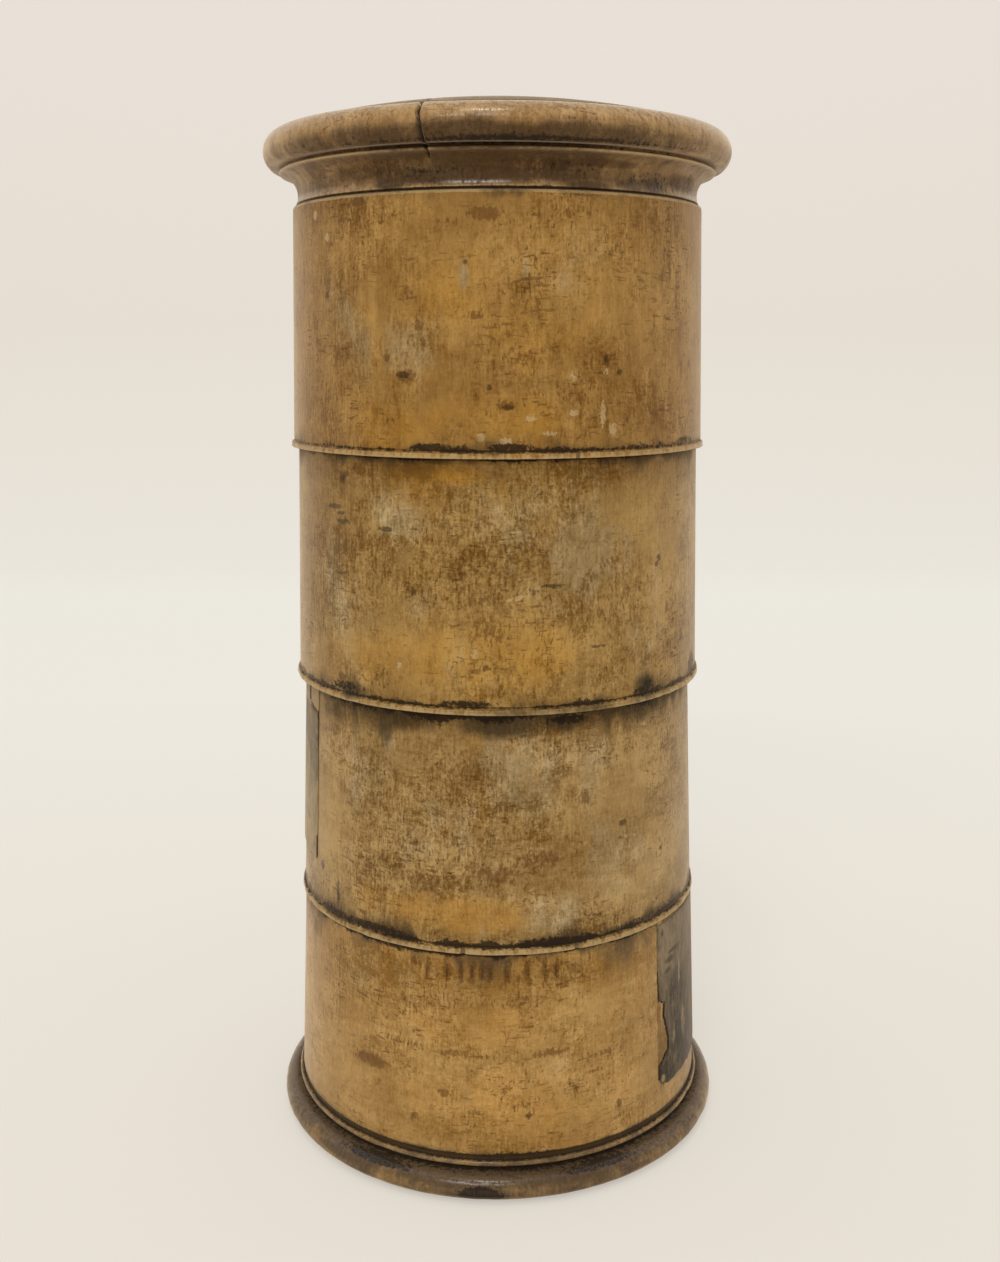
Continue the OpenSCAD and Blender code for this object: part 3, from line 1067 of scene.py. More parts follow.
def wood_ground(tree, place, grain, finish):
    """Level of the wood's ground, from 0 for dark to 1 for light, and how busy its detail is there."""
    spread = finish.contrast
    detail = weighted(tree, 0.0, (grain["Tone"], 3.0 * spread), (grain["Grit"], 1.2 * spread),
                      (grain["Fibre"], 1.3 * spread), (grain["Streaks"], finish.streaks),
                      (grain["Turning"], 0.3 * spread))
    busy = ramp(tree, noise(tree, place, 60.0, detail=3.0, rough=0.6), 0.36, 0.62, *BUSY_SHARES)
    level = maths(tree, "ADD", attribute(tree, "tone"), 0.5)
    ground = maths(tree, "ADD", level, times(tree, detail, busy))
    ground = weighted(tree, ground, (grain["Bands"], finish.bands))
    return maths(tree, "ADD", ground, 0.0, clamp=True), busy


def waxed_wood(name, finish):
    """Old waxed sycamore: uneven ground with grey and warm patches, flecks, stains, worn edges and grime,
    with painted shade under the mouldings and a few painted glints.
    """
    made, tree, shader = material(name)
    place = put(tree, "ShaderNodeTexCoord").outputs["Object"]
    place = put(tree, "ShaderNodeMapping", {"Vector": place, "Location": finish.shift}).outputs[0]
    tall = stretched(tree, place, TALL)
    grain = put(tree, "ShaderNodeGroup", {"Vector": place, "Lay": finish.lay}, node_tree=GRAIN).outputs
    ground, busy = wood_ground(tree, place, grain, finish)

    def grained(colour, share=1.0):
        """A colour that falls, by a share of the finish's fall, where the ground is dark."""
        return mixed(tree, ground, rgb(*darker(colour, finish.fall * share)), rgb(*colour))

    # Ground and its patches
    cloud = noise(tree, stretched(tree, place, UPRIGHT), 70.0, detail=5.0, rough=0.7, distortion=0.4)
    warmth = weighted(tree, attribute(tree, "warm"), (cloud, 1.8), (grain["Tone"], 0.9))
    warmth = ramp(tree, warmth, *PATCH_RANGE, 0.0, PATCH_DEPTH)
    colour = mixed(tree, warmth, grained(finish.light), grained(finish.warm, SMOOTH_WARM))
    dust = noise(tree, tall, 160.0, detail=6.0, rough=0.68, distortion=0.2)
    greying = weighted(tree, attribute(tree, "grey"), (dust, 2.6))
    greying = maths(tree, "ADD", greying, finish.greyness)
    colour = mixed(tree, ramp(tree, greying, *PATCH_RANGE, 0.0, PATCH_DEPTH), colour, grained(finish.grey))

    # Mottle, pores and specks
    murk = noise(tree, tall, 380.0, detail=6.0, rough=0.8)
    colour = laid(tree, colour, STAIN, ramp(tree, murk, 0.53, 0.64), finish.mottle)
    colour = laid(tree, colour, PORE, grain["Pores"], times(tree, busy, PORE_DEPTH))
    dot = noise(tree, place, 1300.0, detail=2.0, rough=0.5)
    flock = noise(tree, place, 120.0, detail=2.0, rough=0.5)
    specks = ramp(tree, weighted(tree, dot, (flock, 0.5)), 0.69, 0.75)
    colour = laid(tree, colour, STAIN, specks, finish.specks)

    # Marks of age, with painted shade and a few painted glints among them
    colour = laid(tree, colour, STAIN, ragged(tree, "dark", tall, 1700.0, 1.9, 0.16), STAIN_DEPTH)
    scratch_and_glint = ragged(tree, "pale", place, 2400.0, 2.1, 0.14)
    wear = ragged(tree, "wear", stretched(tree, place, STREAKED), 1300.0, 2.0, 0.22)
    bare_and_glint = maths(tree, "MAXIMUM", times(tree, scratch_and_glint, SCRATCH_AND_GLINT_DEPTH), times(tree, wear, WEAR_DEPTH))
    colour = mixed(tree, bare_and_glint, colour, BARE_AND_GLINT)
    colour = laid(tree, colour, NICK, ragged(tree, "nicks", place, 2000.0, 1.5, 0.2), NICK_DEPTH)
    # Film and caked grime: dirt, and painted shade under the mouldings
    filmed = attribute(tree, "film")
    film = weighted(tree, filmed, (dust, 1.8), (grain["Tone"], 1.6), (grain["Streaks"], 0.3))
    film = times(tree, ramp(tree, film, 0.05, 1.0), ramp(tree, filmed, 0.0, 0.25))
    colour = laid(tree, colour, finish.soot_and_shade, film, FILM_AND_SHADE_DEPTH)
    caked_and_shaded = ragged(tree, "grime", place, 1500.0, 1.9, 0.2)
    colour = laid(tree, colour, GRIME_AND_SHADE, caked_and_shaded, GRIME_AND_SHADE_DEPTH)
    inner = attribute(tree, "inner")
    colour = laid(tree, colour, INSIDE, inner, INSIDE_DEPTH)

    # Gloss
    gloss = weighted(tree, finish.rough, (cloud, 0.3), (grain["Grit"], 0.15))
    dull = maths(tree, "MAXIMUM", inner, maths(tree, "MAXIMUM", film, caked_and_shaded))
    gloss = maths(tree, "ADD", gloss, times(tree, dull, DIRT_DULLS), clamp=True)
    polish = times(tree, attribute(tree, "polish"), ramp(tree, grain["Fibre"], 0.34, 0.54))

    # Relief
    height = weighted(tree, 0.5, (grain["Fibre"], 0.5), (grain["Grit"], 0.4), (grain["Turning"], 0.4),
                      (murk, 0.8))
    height = maths(tree, "SUBTRACT", height, times(tree, grain["Pores"], 0.4))
    height = maths(tree, "ADD", height, times(tree, caked_and_shaded, 0.4))
    bump = put(tree, "ShaderNodeBump", {"Height": height, "Strength": RELIEF, "Distance": WOOD_RELIEF_H})
    fill(tree, shader, {
        "Base Color": colour, "Roughness": gloss, "Specular IOR Level": WOOD_SPECULAR,
        "Coat Weight": polish, "Coat Roughness": WAX_ROUGH, "Sheen Weight": WAX_BLOOM,
        "Sheen Roughness": BLOOM_SPREAD, "Sheen Tint": BLOOM, "Normal": bump.outputs[0],
    })
    return made


# Label paper

# Depths of the smudges, scuffs, peeled places and black edge of dirt and painted shadow, and how far a peeled
# place darkens
SMUDGE_DEPTH = 0.65
SCUFF_DEPTH = 0.5
PEELED_DEPTH = 0.9
EDGE_DEPTH = 0.8
TORN_FALL = 50

# How far the paper's patterns are drawn out up the label
SCUFFED = (1.0, 1.0, 0.4)
BLOTCHED = (1.0, 1.0, 0.6)
CREASED = (1.0, 1.0, 0.15)

PAPER_SPECULAR = 0.12
PAPER_BLOOM = 0.5
PAPER_RELIEF_H = 0.0002


@dataclass
class Paper:
    """Colours of one old label, from its darkest to its lightest, and under its peeled top layer."""
    dark: tuple
    light: tuple
    torn: tuple


def old_paper(name, paper):
    """Varnished label paper gone dark: blotched, scuffed pale, and black along its tear and front edge with
    dirt and painted shadow.
    """
    made, tree, shader = material(name)
    place = put(tree, "ShaderNodeTexCoord").outputs["Object"]
    scuffed = stretched(tree, place, SCUFFED)
    blotch = noise(tree, stretched(tree, place, BLOTCHED), 240.0, detail=6.0, rough=0.75, distortion=0.3)
    streaks = noise(tree, stretched(tree, place, CREASED), 800.0, detail=4.0, rough=0.65)
    fibres = noise(tree, scuffed, 1900.0, detail=3.0, rough=0.65)
    tone = weighted(tree, attribute(tree, "tone"), (blotch, 2.2), (streaks, 0.6), (fibres, 0.7))
    colour = mixed(tree, maths(tree, "ADD", tone, 0.0, clamp=True), paper.dark, paper.light)
    colour = laid(tree, colour, GRIME_AND_SHADE, ragged(tree, "dark", place, 700.0, 1.6, 0.45), SMUDGE_DEPTH)
    colour = laid(tree, colour, BARE_AND_GLINT, ragged(tree, "pale", scuffed, 1300.0, 1.6, 0.3), SCUFF_DEPTH)
    bared = mixed(tree, ramp(tree, tone, 0.0, 0.6), rgb(*darker(paper.torn, TORN_FALL)), rgb(*paper.torn))
    colour = laid(tree, colour, bared, attribute(tree, "peeled"), PEELED_DEPTH)
    # Black along the front edge and the tear: dirt, and painted shadow of the torn edge
    edge = ragged(tree, "edge_line_and_shadow", stretched(tree, place, TALL), 900.0, 1.3, 0.2)
    gash_and_shadow = ragged(tree, "gash_and_shadow", place, 1100.0, 1.2, 0.2)
    black_and_shade = maths(tree, "MAXIMUM", times(tree, edge, EDGE_DEPTH), gash_and_shadow)
    gloss = ramp(tree, blotch, 0.35, 0.65, 0.55, 0.75)
    bump = put(tree, "ShaderNodeBump", {"Height": tone, "Strength": RELIEF, "Distance": PAPER_RELIEF_H})
    fill(tree, shader, {
        "Base Color": mixed(tree, black_and_shade, colour, GRIME_AND_SHADE), "Roughness": gloss,
        "Specular IOR Level": PAPER_SPECULAR, "Sheen Weight": PAPER_BLOOM,
        "Sheen Roughness": BLOOM_SPREAD, "Sheen Tint": BLOOM, "Normal": bump.outputs[0],
    })
    return made


# Pieces

# Film above the bead of the two upper drums
BEAD_FILM = (1.3, 0.4, 1.4, 0.55)

LID_AGE = Ageing(
    seed=11,
    tone=[(-72, 8.5, 12, 3, 0.4), (36, 7.4, 12, 2, 0.3)],
    dark=[
        (-60, 7.8, 5.0, 1.5, 0.4), (40, 8.6, 7.0, 1.2, 0.35), (-30, 3.4, 5.0, 1.6, 0.6),
        (12, 3.6, 7.0, 1.4, 0.6),
    ] + scattered(12, 8, 2, 11, (1.5, 4.0), (0.6, 1.4), STAINS),
    nicks=scattered(13, 6, 2, 11, (0.5, 1.4), (0.3, 0.6), NICKS),
    # Soot, black marks and bands near heights 4 to 7, under the rounded rim and at the top of the hollow
    # moulding, are painted shade as well as dirt
    sooty_and_shaded=[
        (26, 4.2, 12.0, 1.0, 1.0), (-38, 3.0, 7.0, 2.0, 0.9), (-20, 2.0, 6.0, 1.4, 1.2),
        (-28, 1.2, 4.0, 1.2, 1.1), (24, 0.8, 5.0, 1.0, 1.0), (40, 1.4, 8.0, 1.4, 0.9),
        (-2, 2.6, 9.0, 1.2, 1.1), (0, 6.9, 26.0, 1.6, 1.2), (60, 2.6, 8.0, 2.0, 0.85),
    ],
    # The first two pale marks, low on the front of the hollow moulding, are a painted highlight as well as
    # wear
    pale=[(-8, 1.3, 2.0, 0.3, 0.6), (12, 1.1, 3.0, 0.3, 0.6), (-40, 5.6, 4.0, 0.3, 0.6)],
    black_and_shade=[
        (0, 6.7, 18.0, 0.5, 0.7), (-17, 2.6, 9.0, 1.4, 0.4), (48, 2.2, 9.0, 1.8, 0.42),
        (18, 3.0, 10.0, 1.4, 0.36), (66, 3.0, 7.0, 2.0, 0.36),
    ],
    grime_bands=[(6.7, 0.2, 0.4, 0.75), (0.05, 0.1, 0.2, 0.9)],
    film_bands=[(6.4, 0.25, 2.2, 0.75), (4.9, 1.3, 0.3, 0.75)],
    chips=[(52, 0.8, 0.12), (-70, 1.0, 0.1)],
    fade=0.75,
)

TOP = Drum(
    "top_section", "top", SEAT_TOP, SEAT_LID, low_r=37.45, rim_r=36.4, rim_wear=WORN_RIM,
    age=Ageing(
        seed=21,
        tone=[
            (8, 29, 14, 6, 0.28), (42, 24, 10, 8, 0.2), (-28, 39, 10, 3, 0.15), (40, 9, 10, 5, -0.32),
            (-54, 9, 7, 5, -0.3), (-54, 39, 6, 4, -0.25), (42, 39, 10, 4, -0.18), (18, 19, 6, 5, -0.08),
            (-33, 20.5, 0.9, 7.0, 0.35), (-40, 18.0, 2.5, 7.0, -0.12),
        ] + scattered(22, 4, 6, 38, (6, 14), (4, 9), TONES),
        dark=[
            (-23, 13.0, 2.0, 1.1, 1.0), (-20, 20.8, 1.4, 1.1, 0.75), (-23, 25.9, 1.2, 1.6, 0.6),
            (-6, 22.3, 2.2, 0.9, 0.6), (2, 8.4, 1.6, 0.8, 0.95), (28, 15.5, 1.0, 1.1, 0.9),
            (-3, 37.7, 3.2, 1.4, 0.8), (-38, 40.1, 2.0, 0.8, 0.9), (6, 15.8, 3.0, 2.6, 0.55),
            (-29, 16.0, 0.8, 1.2, 0.8), (-12, 36.0, 5.0, 2.0, 0.4), (16, 11.0, 4.0, 3.0, 0.4),
            (20, 38.0, 6.0, 2.0, 0.4), (-30, 38.5, 6.0, 2.0, 0.4),
        ] + scattered(23, 12, 5, 40, (1.0, 4.0), (0.8, 2.6), STAINS),
        nicks=[
            (-24, 13.2, 1.5, 0.6, 1.0), (2.5, 8.2, 1.2, 0.5, 1.0), (28, 15.6, 0.6, 0.7, 0.9),
            (-2, 11.2, 0.5, 0.5, 1.1), (20, 0.5, 0.4, 0.8, 1.2), (32, 13.6, 0.6, 0.6, 1.0),
            (-50, 25.9, 0.5, 0.7, 1.0), (62, 14.7, 0.5, 0.9, 1.0), (-8, 30.5, 0.5, 0.5, 0.9),
        ] + scattered(24, 9, 5, 40, (0.4, 1.4), (0.4, 0.9), NICKS),
        pale=[
            (27, 6.8, 0.6, 2.8, 0.8), (19, 7.2, 1.1, 0.6, 0.8), (19, 12.9, 0.8, 1.1, 0.6),
            (8, 6.5, 1.2, 0.6, 0.7), (30, 4.5, 1.0, 1.3, 0.7), (-4, 3.4, 0.7, 0.7, 1.0),
            (2, 2.9, 1.2, 0.6, 0.9), (-56, 38.9, 0.6, 0.8, 1.2), (-50, 35.2, 0.6, 0.7, 1.2),
            (13, 4.0, 1.4, 0.5, 0.7), (28, 13.6, 0.5, 1.0, 0.6),
        ] + scattered(25, 8, 4, 40, (0.5, 1.0), (0.6, 2.2), SCRATCHES),
        grey=[
            (-36, 16.6, 2.4, 7.0, 1.1), (-44, 22.7, 6.0, 8.0, 0.7), (-8, 28.2, 1.0, 2.6, 0.9),
            (7, 29.8, 0.8, 2.8, 0.9), (-22, 17.5, 5.0, 5.0, 0.85), (22, 30.0, 8.0, 7.0, 0.35),
            (-52, 12.0, 6.0, 9.0, 0.5),
        ],
        warm=[
            (-24, 5.0, 11, 5.0, 0.7), (0, 6.0, 16, 5.0, 0.6), (12, 20.0, 14, 9.0, 0.4),
            (-12, 26.0, 10, 7.0, 0.5),
        ],
        black_and_shade=[(3, 1.8, 4.0, 0.8, 0.9), (-17, 1.8, 4.0, 0.7, 0.9), (60, 1.9, 4.0, 0.7, 0.7)],
        grime_bands=[(1.25, 0.25, 0.5, 0.9)],
        # The film band at the top, just under the lid, is painted shade as well as dirt
        film_bands=[BEAD_FILM, (41.2, 1.2, 0.5, 0.4)],
        chips=[(-77, 0.5, 0.35), (2, 2.0, 0.12)],
        fade=0.6,
    ),
)

SECOND = Drum(
    "second_section", "second", SEAT_SECOND, SEAT_TOP, low_r=37.7, rim_r=36.7, rim_wear=DIRTY_RIM,
    age=Ageing(
        seed=31,
        tone=[
            (45, 30, 12, 9, 0.3), (48, 20, 9, 8, 0.18), (0, 11, 30, 6, 0.25), (20, 31, 6, 5, -0.2),
            (-40, 31, 5, 5, 0.12), (-52, 27, 8, 10, -0.3), (0, 40, 40, 3, -0.15), (-32, 40, 14, 3, -0.2),
            (-18, 22, 8, 5, -0.15), (19, 22, 8, 5, -0.15), (0, 31, 8, 5, 0.18), (28, 40, 9, 4, -0.35),
            (-17, 40, 8, 4, -0.3),
        ] + scattered(32, 4, 6, 38, (6, 14), (4, 9), TONES),
        dark=[
            (-45, 38.2, 1.2, 1.0, 1.0), (-2, 14.4, 4.5, 3.6, 0.55), (-46, 4.0, 1.2, 0.9, 0.9),
            (-5, 22.4, 6.0, 5.0, 0.42), (29, 20.8, 6.0, 5.0, 0.4), (10, 30.0, 7.0, 5.0, 0.25),
            (-32, 24.0, 6.0, 5.0, 0.35),
        ] + scattered(33, 12, 5, 40, (1.0, 5.0), (0.8, 3.6), STAINS),
        nicks=[
            (-49, 33.2, 2.4, 0.5, 1.0), (-45, 30.9, 2.2, 0.5, 1.0), (-46, 32.2, 1.4, 0.4, 0.9),
            (-30, 30.3, 1.8, 0.5, 0.9), (14, 21.5, 2.4, 0.35, 1.0), (48, 24.5, 0.6, 0.6, 1.2),
            (47, 23.4, 0.5, 0.5, 1.2), (-22, 20.2, 0.5, 0.8, 1.0), (-3, 8.0, 0.8, 0.6, 1.0),
            (27, 10.8, 2.0, 0.35, 0.8), (-45, 38.2, 0.8, 0.6, 1.0),
        ] + scattered(34, 10, 5, 40, (0.5, 2.0), (0.35, 0.7), NICKS),
        rings=[
            (-5, 22.7, 3.8, 1.8, 0.52), (29, 20.5, 4.1, 1.7, 0.5), (-31, 5.0, 1.4, 0.5, 0.5),
            (150, 24.0, 4.0, 1.4, 0.55),
        ],
        pale=[
            (3, 19.3, 0.4, 0.4, 1.2), (5, 19.6, 0.4, 0.4, 1.2), (6, 19.8, 0.4, 0.4, 1.2),
            (-26, 7.7, 0.5, 0.6, 1.2), (-6, 10.3, 0.9, 1.0, 0.6),
        ] + scattered(35, 6, 4, 40, (0.4, 0.9), (0.4, 1.6), SCRATCHES),
        grey=[
            (-27, 33.6, 7.0, 5.0, 0.6), (-20, 17.6, 3.5, 3.2, 0.7), (0, 33.0, 12, 7.0, 0.5),
            (24, 27.0, 12, 10.0, 0.5), (-48, 20.0, 6.0, 10.0, 0.5), (44, 16.0, 8.0, 10.0, 0.4),
        ],
        warm=[
            (-6, 9.5, 18, 7.0, 0.75), (-30, 9.0, 10, 6.0, 0.6), (-10, 39.5, 5, 2.0, 0.8),
            (0, 36.5, 2.0, 2.6, 0.7), (-22, 36.0, 7, 5.0, 0.4),
        ],
        black_and_shade=[
            (40.5, 1.9, 1.8, 0.9, 0.85), (43.5, 2.6, 1.5, 1.6, 0.8), (47, 1.7, 2.4, 0.6, 0.7),
            (71, 2.8, 2.6, 2.6, 1.0), (-8, 1.9, 6.0, 0.6, 0.8), (-44, 2.4, 5.0, 1.0, 0.7),
        ],
        sooty_and_shaded=[(14, 0.5, 18.0, 0.8, 0.6), (43, 2.6, 3.6, 2.2, 0.8)],
        # The bands at the top, just under the bead of the drum above, are painted shade as well as dirt
        grime_bands=[(1.25, 0.25, 0.5, 0.85), (42.3, 0.4, 0.3, 0.85)],
        film_bands=[BEAD_FILM, (42.2, 1.1, 0.5, 0.75)],
        chips=[(50, 1.0, 0.25), (-62, 0.8, 0.2)],
    ),
)

THIRD = Drum(
    "third_section", "third", SEAT_THIRD, SEAT_SECOND, low_r=37.9, rim_r=36.3, rim_wear=DIRTY_RIM,
    age=Ageing(
        seed=41,
        tone=[
            (-55, 22, 8, 10, 0.4), (-54, 11, 8, 6, 0.45), (-20, 39, 10, 3, -0.2), (38, 29, 10, 6, 0.28),
            (52, 12, 9, 7, 0.4), (0, 21, 6, 5, 0.12), (35, 6, 7, 3, 0.2), (-38, 31, 7, 6, -0.22),
            (0, 31, 8, 6, -0.2), (20, 31, 6, 6, 0.1),
        ] + scattered(42, 4, 6, 36, (6, 14), (4, 9), TONES),
        dark=[
            (24, 27.1, 1.2, 1.8, 0.8), (11, 16.7, 6.0, 2.2, 0.6), (0, 14.5, 8.0, 3.2, 0.55),
            (-20, 12.5, 6.0, 3.0, 0.5), (-10, 32.0, 9.0, 6.0, 0.4), (16, 36.0, 7.0, 3.0, 0.4),
        ] + scattered(43, 12, 5, 38, (1.0, 6.0), (0.8, 3.2), STAINS),
        nicks=[
            (-9, 0.5, 0.4, 0.8, 1.3), (21, 0.5, 0.4, 0.8, 1.2), (-59, 9.0, 0.8, 0.9, 1.5),
            (36, 21.1, 1.0, 0.5, 1.2), (52, 13.7, 0.6, 0.6, 1.0), (-50, 5.4, 0.4, 3.4, 1.1),
        ] + scattered(44, 8, 5, 38, (0.4, 1.4), (0.4, 0.9), NICKS),
        pale=[
            (12, 32.5, 3.0, 5.0, 0.4), (30, 35.5, 1.0, 2.2, 0.6), (-8, 26.0, 0.7, 4.5, 0.45),
        ] + scattered(45, 6, 4, 38, (0.5, 1.4), (0.8, 3.0), SCRATCHES),
        grey=[
            (15, 7.0, 5.5, 4.6, 0.55), (12, 30.0, 14, 8.0, 0.5), (-20, 24.0, 16, 8.0, 0.4),
            (34, 12.0, 9, 8.0, 0.5), (-40, 30.0, 8, 9.0, 0.45),
        ],
        warm=[
            (-5, 7.2, 10.5, 3.8, 0.9), (-6, 37.3, 2.2, 2.8, 0.6), (8, 30.7, 1.8, 4.4, 0.6),
            (-4, 24.0, 2.2, 5.0, 0.6), (-22, 6.8, 9.0, 3.8, 0.8), (-36, 7.0, 7.0, 3.6, 0.6),
        ],
        # The black mark at height 41, the soot marks near 40 and the bands near 42 lie just under the bead
        # above: painted shade as well as dirt
        black_and_shade=[
            (19, 41.0, 4.0, 1.0, 0.8), (40, 2.0, 8.0, 0.7, 0.5), (12, 2.0, 6.0, 0.8, 0.75),
            (-34, 2.0, 8.0, 0.9, 0.8), (-50, 1.9, 7.0, 0.8, 0.7),
        ],
        sooty_and_shaded=[
            (-27, 40.4, 8.0, 2.0, 0.8), (1, 40.4, 9.0, 2.2, 0.85), (19, 40.6, 7.0, 2.0, 0.9),
            (-52, 39.6, 6.0, 2.2, 0.7), (44, 40.2, 6.0, 1.8, 0.55),
        ],
        grime_bands=[(1.3, 0.3, 0.8, 1.05), (42.3, 1.0, 0.3, 0.95)],
        film_bands=[(1.4, 0.4, 1.5, 0.85), (42.2, 2.5, 0.5, 0.9)],
        chips=[(-9, 0.4, 0.4), (21, 0.4, 0.3), (-40, 1.4, 0.12)],
    ),
)

# Short upright ticks under the rim of the base, with fainter ones between them
TICK_ANGLES = (-18.6, -13.3, -9.7, -6.7, -4.0, -1.9, 2.4, 7.8, 12.5, 15.5)
TICK_MARKS = [(angle, 41.8, 0.35, 1.8, 0.7) for angle in TICK_ANGLES]
TICK_ROW = [(angle, 42.0, 0.7, 2.5, 0.9) for angle in TICK_ANGLES]
TICK_ROW += scattered(56, 26, 40.4, 43.6, (0.25, 0.5), (0.7, 1.7), (0.5, 0.8), turns=(-24.0, 26.0))

BASE_AGE = Ageing(
    seed=51,
    tone=[
        (-34, 41, 14, 5, -0.35), (0, 41, 10, 4, -0.2), (32, 40, 8, 4, -0.2), (0, 33, 8, 4, -0.15),
        (20, 33, 9, 5, 0.2), (-20, 25, 7, 4, 0.2), (26, 15, 9, 6, 0.15), (0, 12, 12, 5, -0.25),
        (-34, 34, 9, 5, -0.2),
    ] + scattered(52, 4, 12, 40, (6, 14), (4, 9), TONES),
    dark=TICK_ROW + [
        (-36, 21.9, 4.2, 1.4, 1.0), (-12, 26.7, 3.2, 0.8, 0.7), (14, 26.6, 4.2, 1.0, 0.75),
        (6, 21.2, 6.0, 0.6, 0.6), (-14, 19.1, 2.0, 1.1, 0.7), (-22, 13.4, 1.2, 1.2, 0.6),
        (30, 24.6, 6.0, 0.7, 0.6), (-28, 27.4, 5.0, 0.7, 0.6), (26, 21.4, 4.0, 0.5, 0.55),
        (-3, 26.2, 5.0, 0.6, 0.55), (-24, 34.4, 4.0, 3.0, 0.45), (0, 36.5, 14.0, 2.0, 0.4),
        (-26, 22.6, 5.0, 0.5, 0.6),
    ] + scattered(53, 12, 11, 42, (1.0, 6.0), (0.6, 2.4), STAINS),
    nicks=TICK_MARKS + [
        (8, 15.2, 0.7, 0.8, 0.9), (34, 13.6, 0.8, 1.3, 0.9), (17.6, 1.4, 1.6, 0.4, 1.0),
        (21, 1.6, 0.6, 0.4, 1.0),
    ] + scattered(54, 8, 11, 42, (0.4, 1.4), (0.4, 0.9), NICKS),
    pale=[(16, 24.1, 1.2, 0.8, 0.3)] + scattered(55, 6, 11, 42, (0.5, 1.2), (0.6, 2.0), SCRATCHES),
    grey=[
        (0, 40.6, 22, 3.0, 0.5), (-40, 38.0, 11, 5.0, 0.5), (-24, 33.0, 9, 5.0, 0.35),
        (16, 24.1, 2.4, 2.0, 0.5), (40, 30.0, 7, 10, 0.35),
    ],
    warm=[(0, 17.0, 26, 7.0, 0.5), (-6, 32.0, 18, 6.0, 0.4)],
    black_and_shade=[
        (-4, 2.2, 4.2, 1.5, 1.5), (52, 14.5, 1.4, 2.4, 0.8), (-32, 4.6, 9.0, 0.5, 0.9),
        (26, 4.65, 9.0, 0.45, 0.85),
    ],
    sooty_and_shaded=[
        (-1, 2.2, 9.0, 2.0, 1.1), (52, 20, 2.0, 10, 0.6), (-44, 3.4, 7.0, 1.2, 1.1),
        (36, 2.6, 5.0, 1.0, 1.0),
    ],
    # The bands near 45, just under the bead of the drum above, are painted shade as well as dirt
    grime_bands=[(7.6, 0.4, 0.35, 1.0), (45.2, 0.6, 0.3, 1.0)],
    film_bands=[(7.8, 0.5, 0.6, 0.65), (45.2, 2.8, 0.5, 0.7)],
    chips=[(-30, 1.6, 0.15), (66, 2.0, 0.2)],
    fade=0.3,
)

# Colour of the dirty film on the three upper drums, which also paints shade under their mouldings
DRUM_SOOT_AND_SHADE = rgb(50, 36, 18)

LID_WOOD = waxed_wood("lid_wood", Finish(
    light=(182, 146, 96), fall=60, warm=(174, 130, 72), grey=(180, 154, 116), soot_and_shade=rgb(56, 34, 10),
    greyness=-0.2, mottle=0.22, specks=0.4, rough=0.35, contrast=0.9, lay=0.7, bands=0.3, streaks=0.45,
    shift=(0.31, 0.12, 0.07),
))
TOP_WOOD = waxed_wood("top_wood", Finish(
    light=(172, 133, 72), fall=62, warm=(176, 131, 55), grey=(171, 146, 103), soot_and_shade=DRUM_SOOT_AND_SHADE,
    greyness=-0.15, mottle=0.12, specks=0.4, rough=0.42, contrast=0.72, lay=0.9, bands=0.25, streaks=0.9,
    shift=(0.0, 0.0, 0.0),
))
SECOND_WOOD = waxed_wood("second_wood", Finish(
    light=(174, 139, 80), fall=70, warm=(180, 135, 60), grey=(187, 164, 121), soot_and_shade=DRUM_SOOT_AND_SHADE,
    greyness=0.0, mottle=0.15, specks=0.5, rough=0.44, contrast=0.86, lay=1.0, bands=0.4, streaks=0.6,
    shift=(0.17, 0.05, 0.21),
))
THIRD_WOOD = waxed_wood("third_wood", Finish(
    light=(176, 143, 88), fall=72, warm=(182, 138, 70), grey=(190, 167, 126), soot_and_shade=DRUM_SOOT_AND_SHADE,
    greyness=0.0, mottle=0.15, specks=0.5, rough=0.44, contrast=0.95, lay=1.3, bands=1.0, streaks=0.6,
    shift=(0.23, 0.29, 0.11),
))
BASE_WOOD = waxed_wood("base_wood", Finish(
    light=(192, 153, 92), fall=62, warm=(203, 156, 87), grey=(187, 160, 113), soot_and_shade=rgb(64, 51, 39),
    greyness=-0.1, mottle=0.18, specks=0.5, rough=0.42, contrast=0.74, lay=1.5, bands=1.0, streaks=0.5,
    shift=(0.41, 0.19, 0.33),
))

on_scene("turned_lid", lid_mesh(LID_AGE), LID_WOOD, "lid", "lid")
for drum, wood in ((TOP, TOP_WOOD), (SECOND, SECOND_WOOD), (THIRD, THIRD_WOOD)):
    on_scene("turned_" + drum.body, drum_mesh(drum), wood, drum.body, drum.node)
on_scene("turned_base", base_mesh(BASE_AGE), BASE_WOOD, "base", "base_section")

THIRD_LABEL = Label(
    "third_label", "third", seat=SEAT_THIRD, low_r=THIRD.low_r, low_z=BEAD_H, rim_r=THIRD.rim_r,
    rim_z=SEAT_SECOND - SEAT_THIRD - RIM_ROUND,
    left=-157.7, right=-62.7, low=9.4, high=41.6, corner=0.0, seed=61,
    tear=[(0.0, 0.0), (37.2, 0.0), (38.6, 5.0), (45.0, 5.4)],
    tones=[
        (9.0, 0.75), (22.0, 0.8), (26.0, 0.5), (30.0, 0.3), (36.0, 0.2), (37.6, 0.2), (38.4, 0.75),
        (42.0, 0.85),
    ],
    edge_line_and_shadow=[
        (9.0, 1.2), (13.6, 1.2), (14.4, 0.0), (24.0, 0.0), (29.0, 0.4), (37.0, 0.9), (38.2, 0.1),
        (42.0, 0.0),
    ],
    dark=[(-66, 37.6, 3.0, 0.5, 0.9), (-70, 16.4, 1.2, 0.7, 0.7), (-67.5, 40.4, 0.5, 2.0, 0.9)],
    pale=[(-67, 19.0, 4.0, 5.0, 0.4)],
)
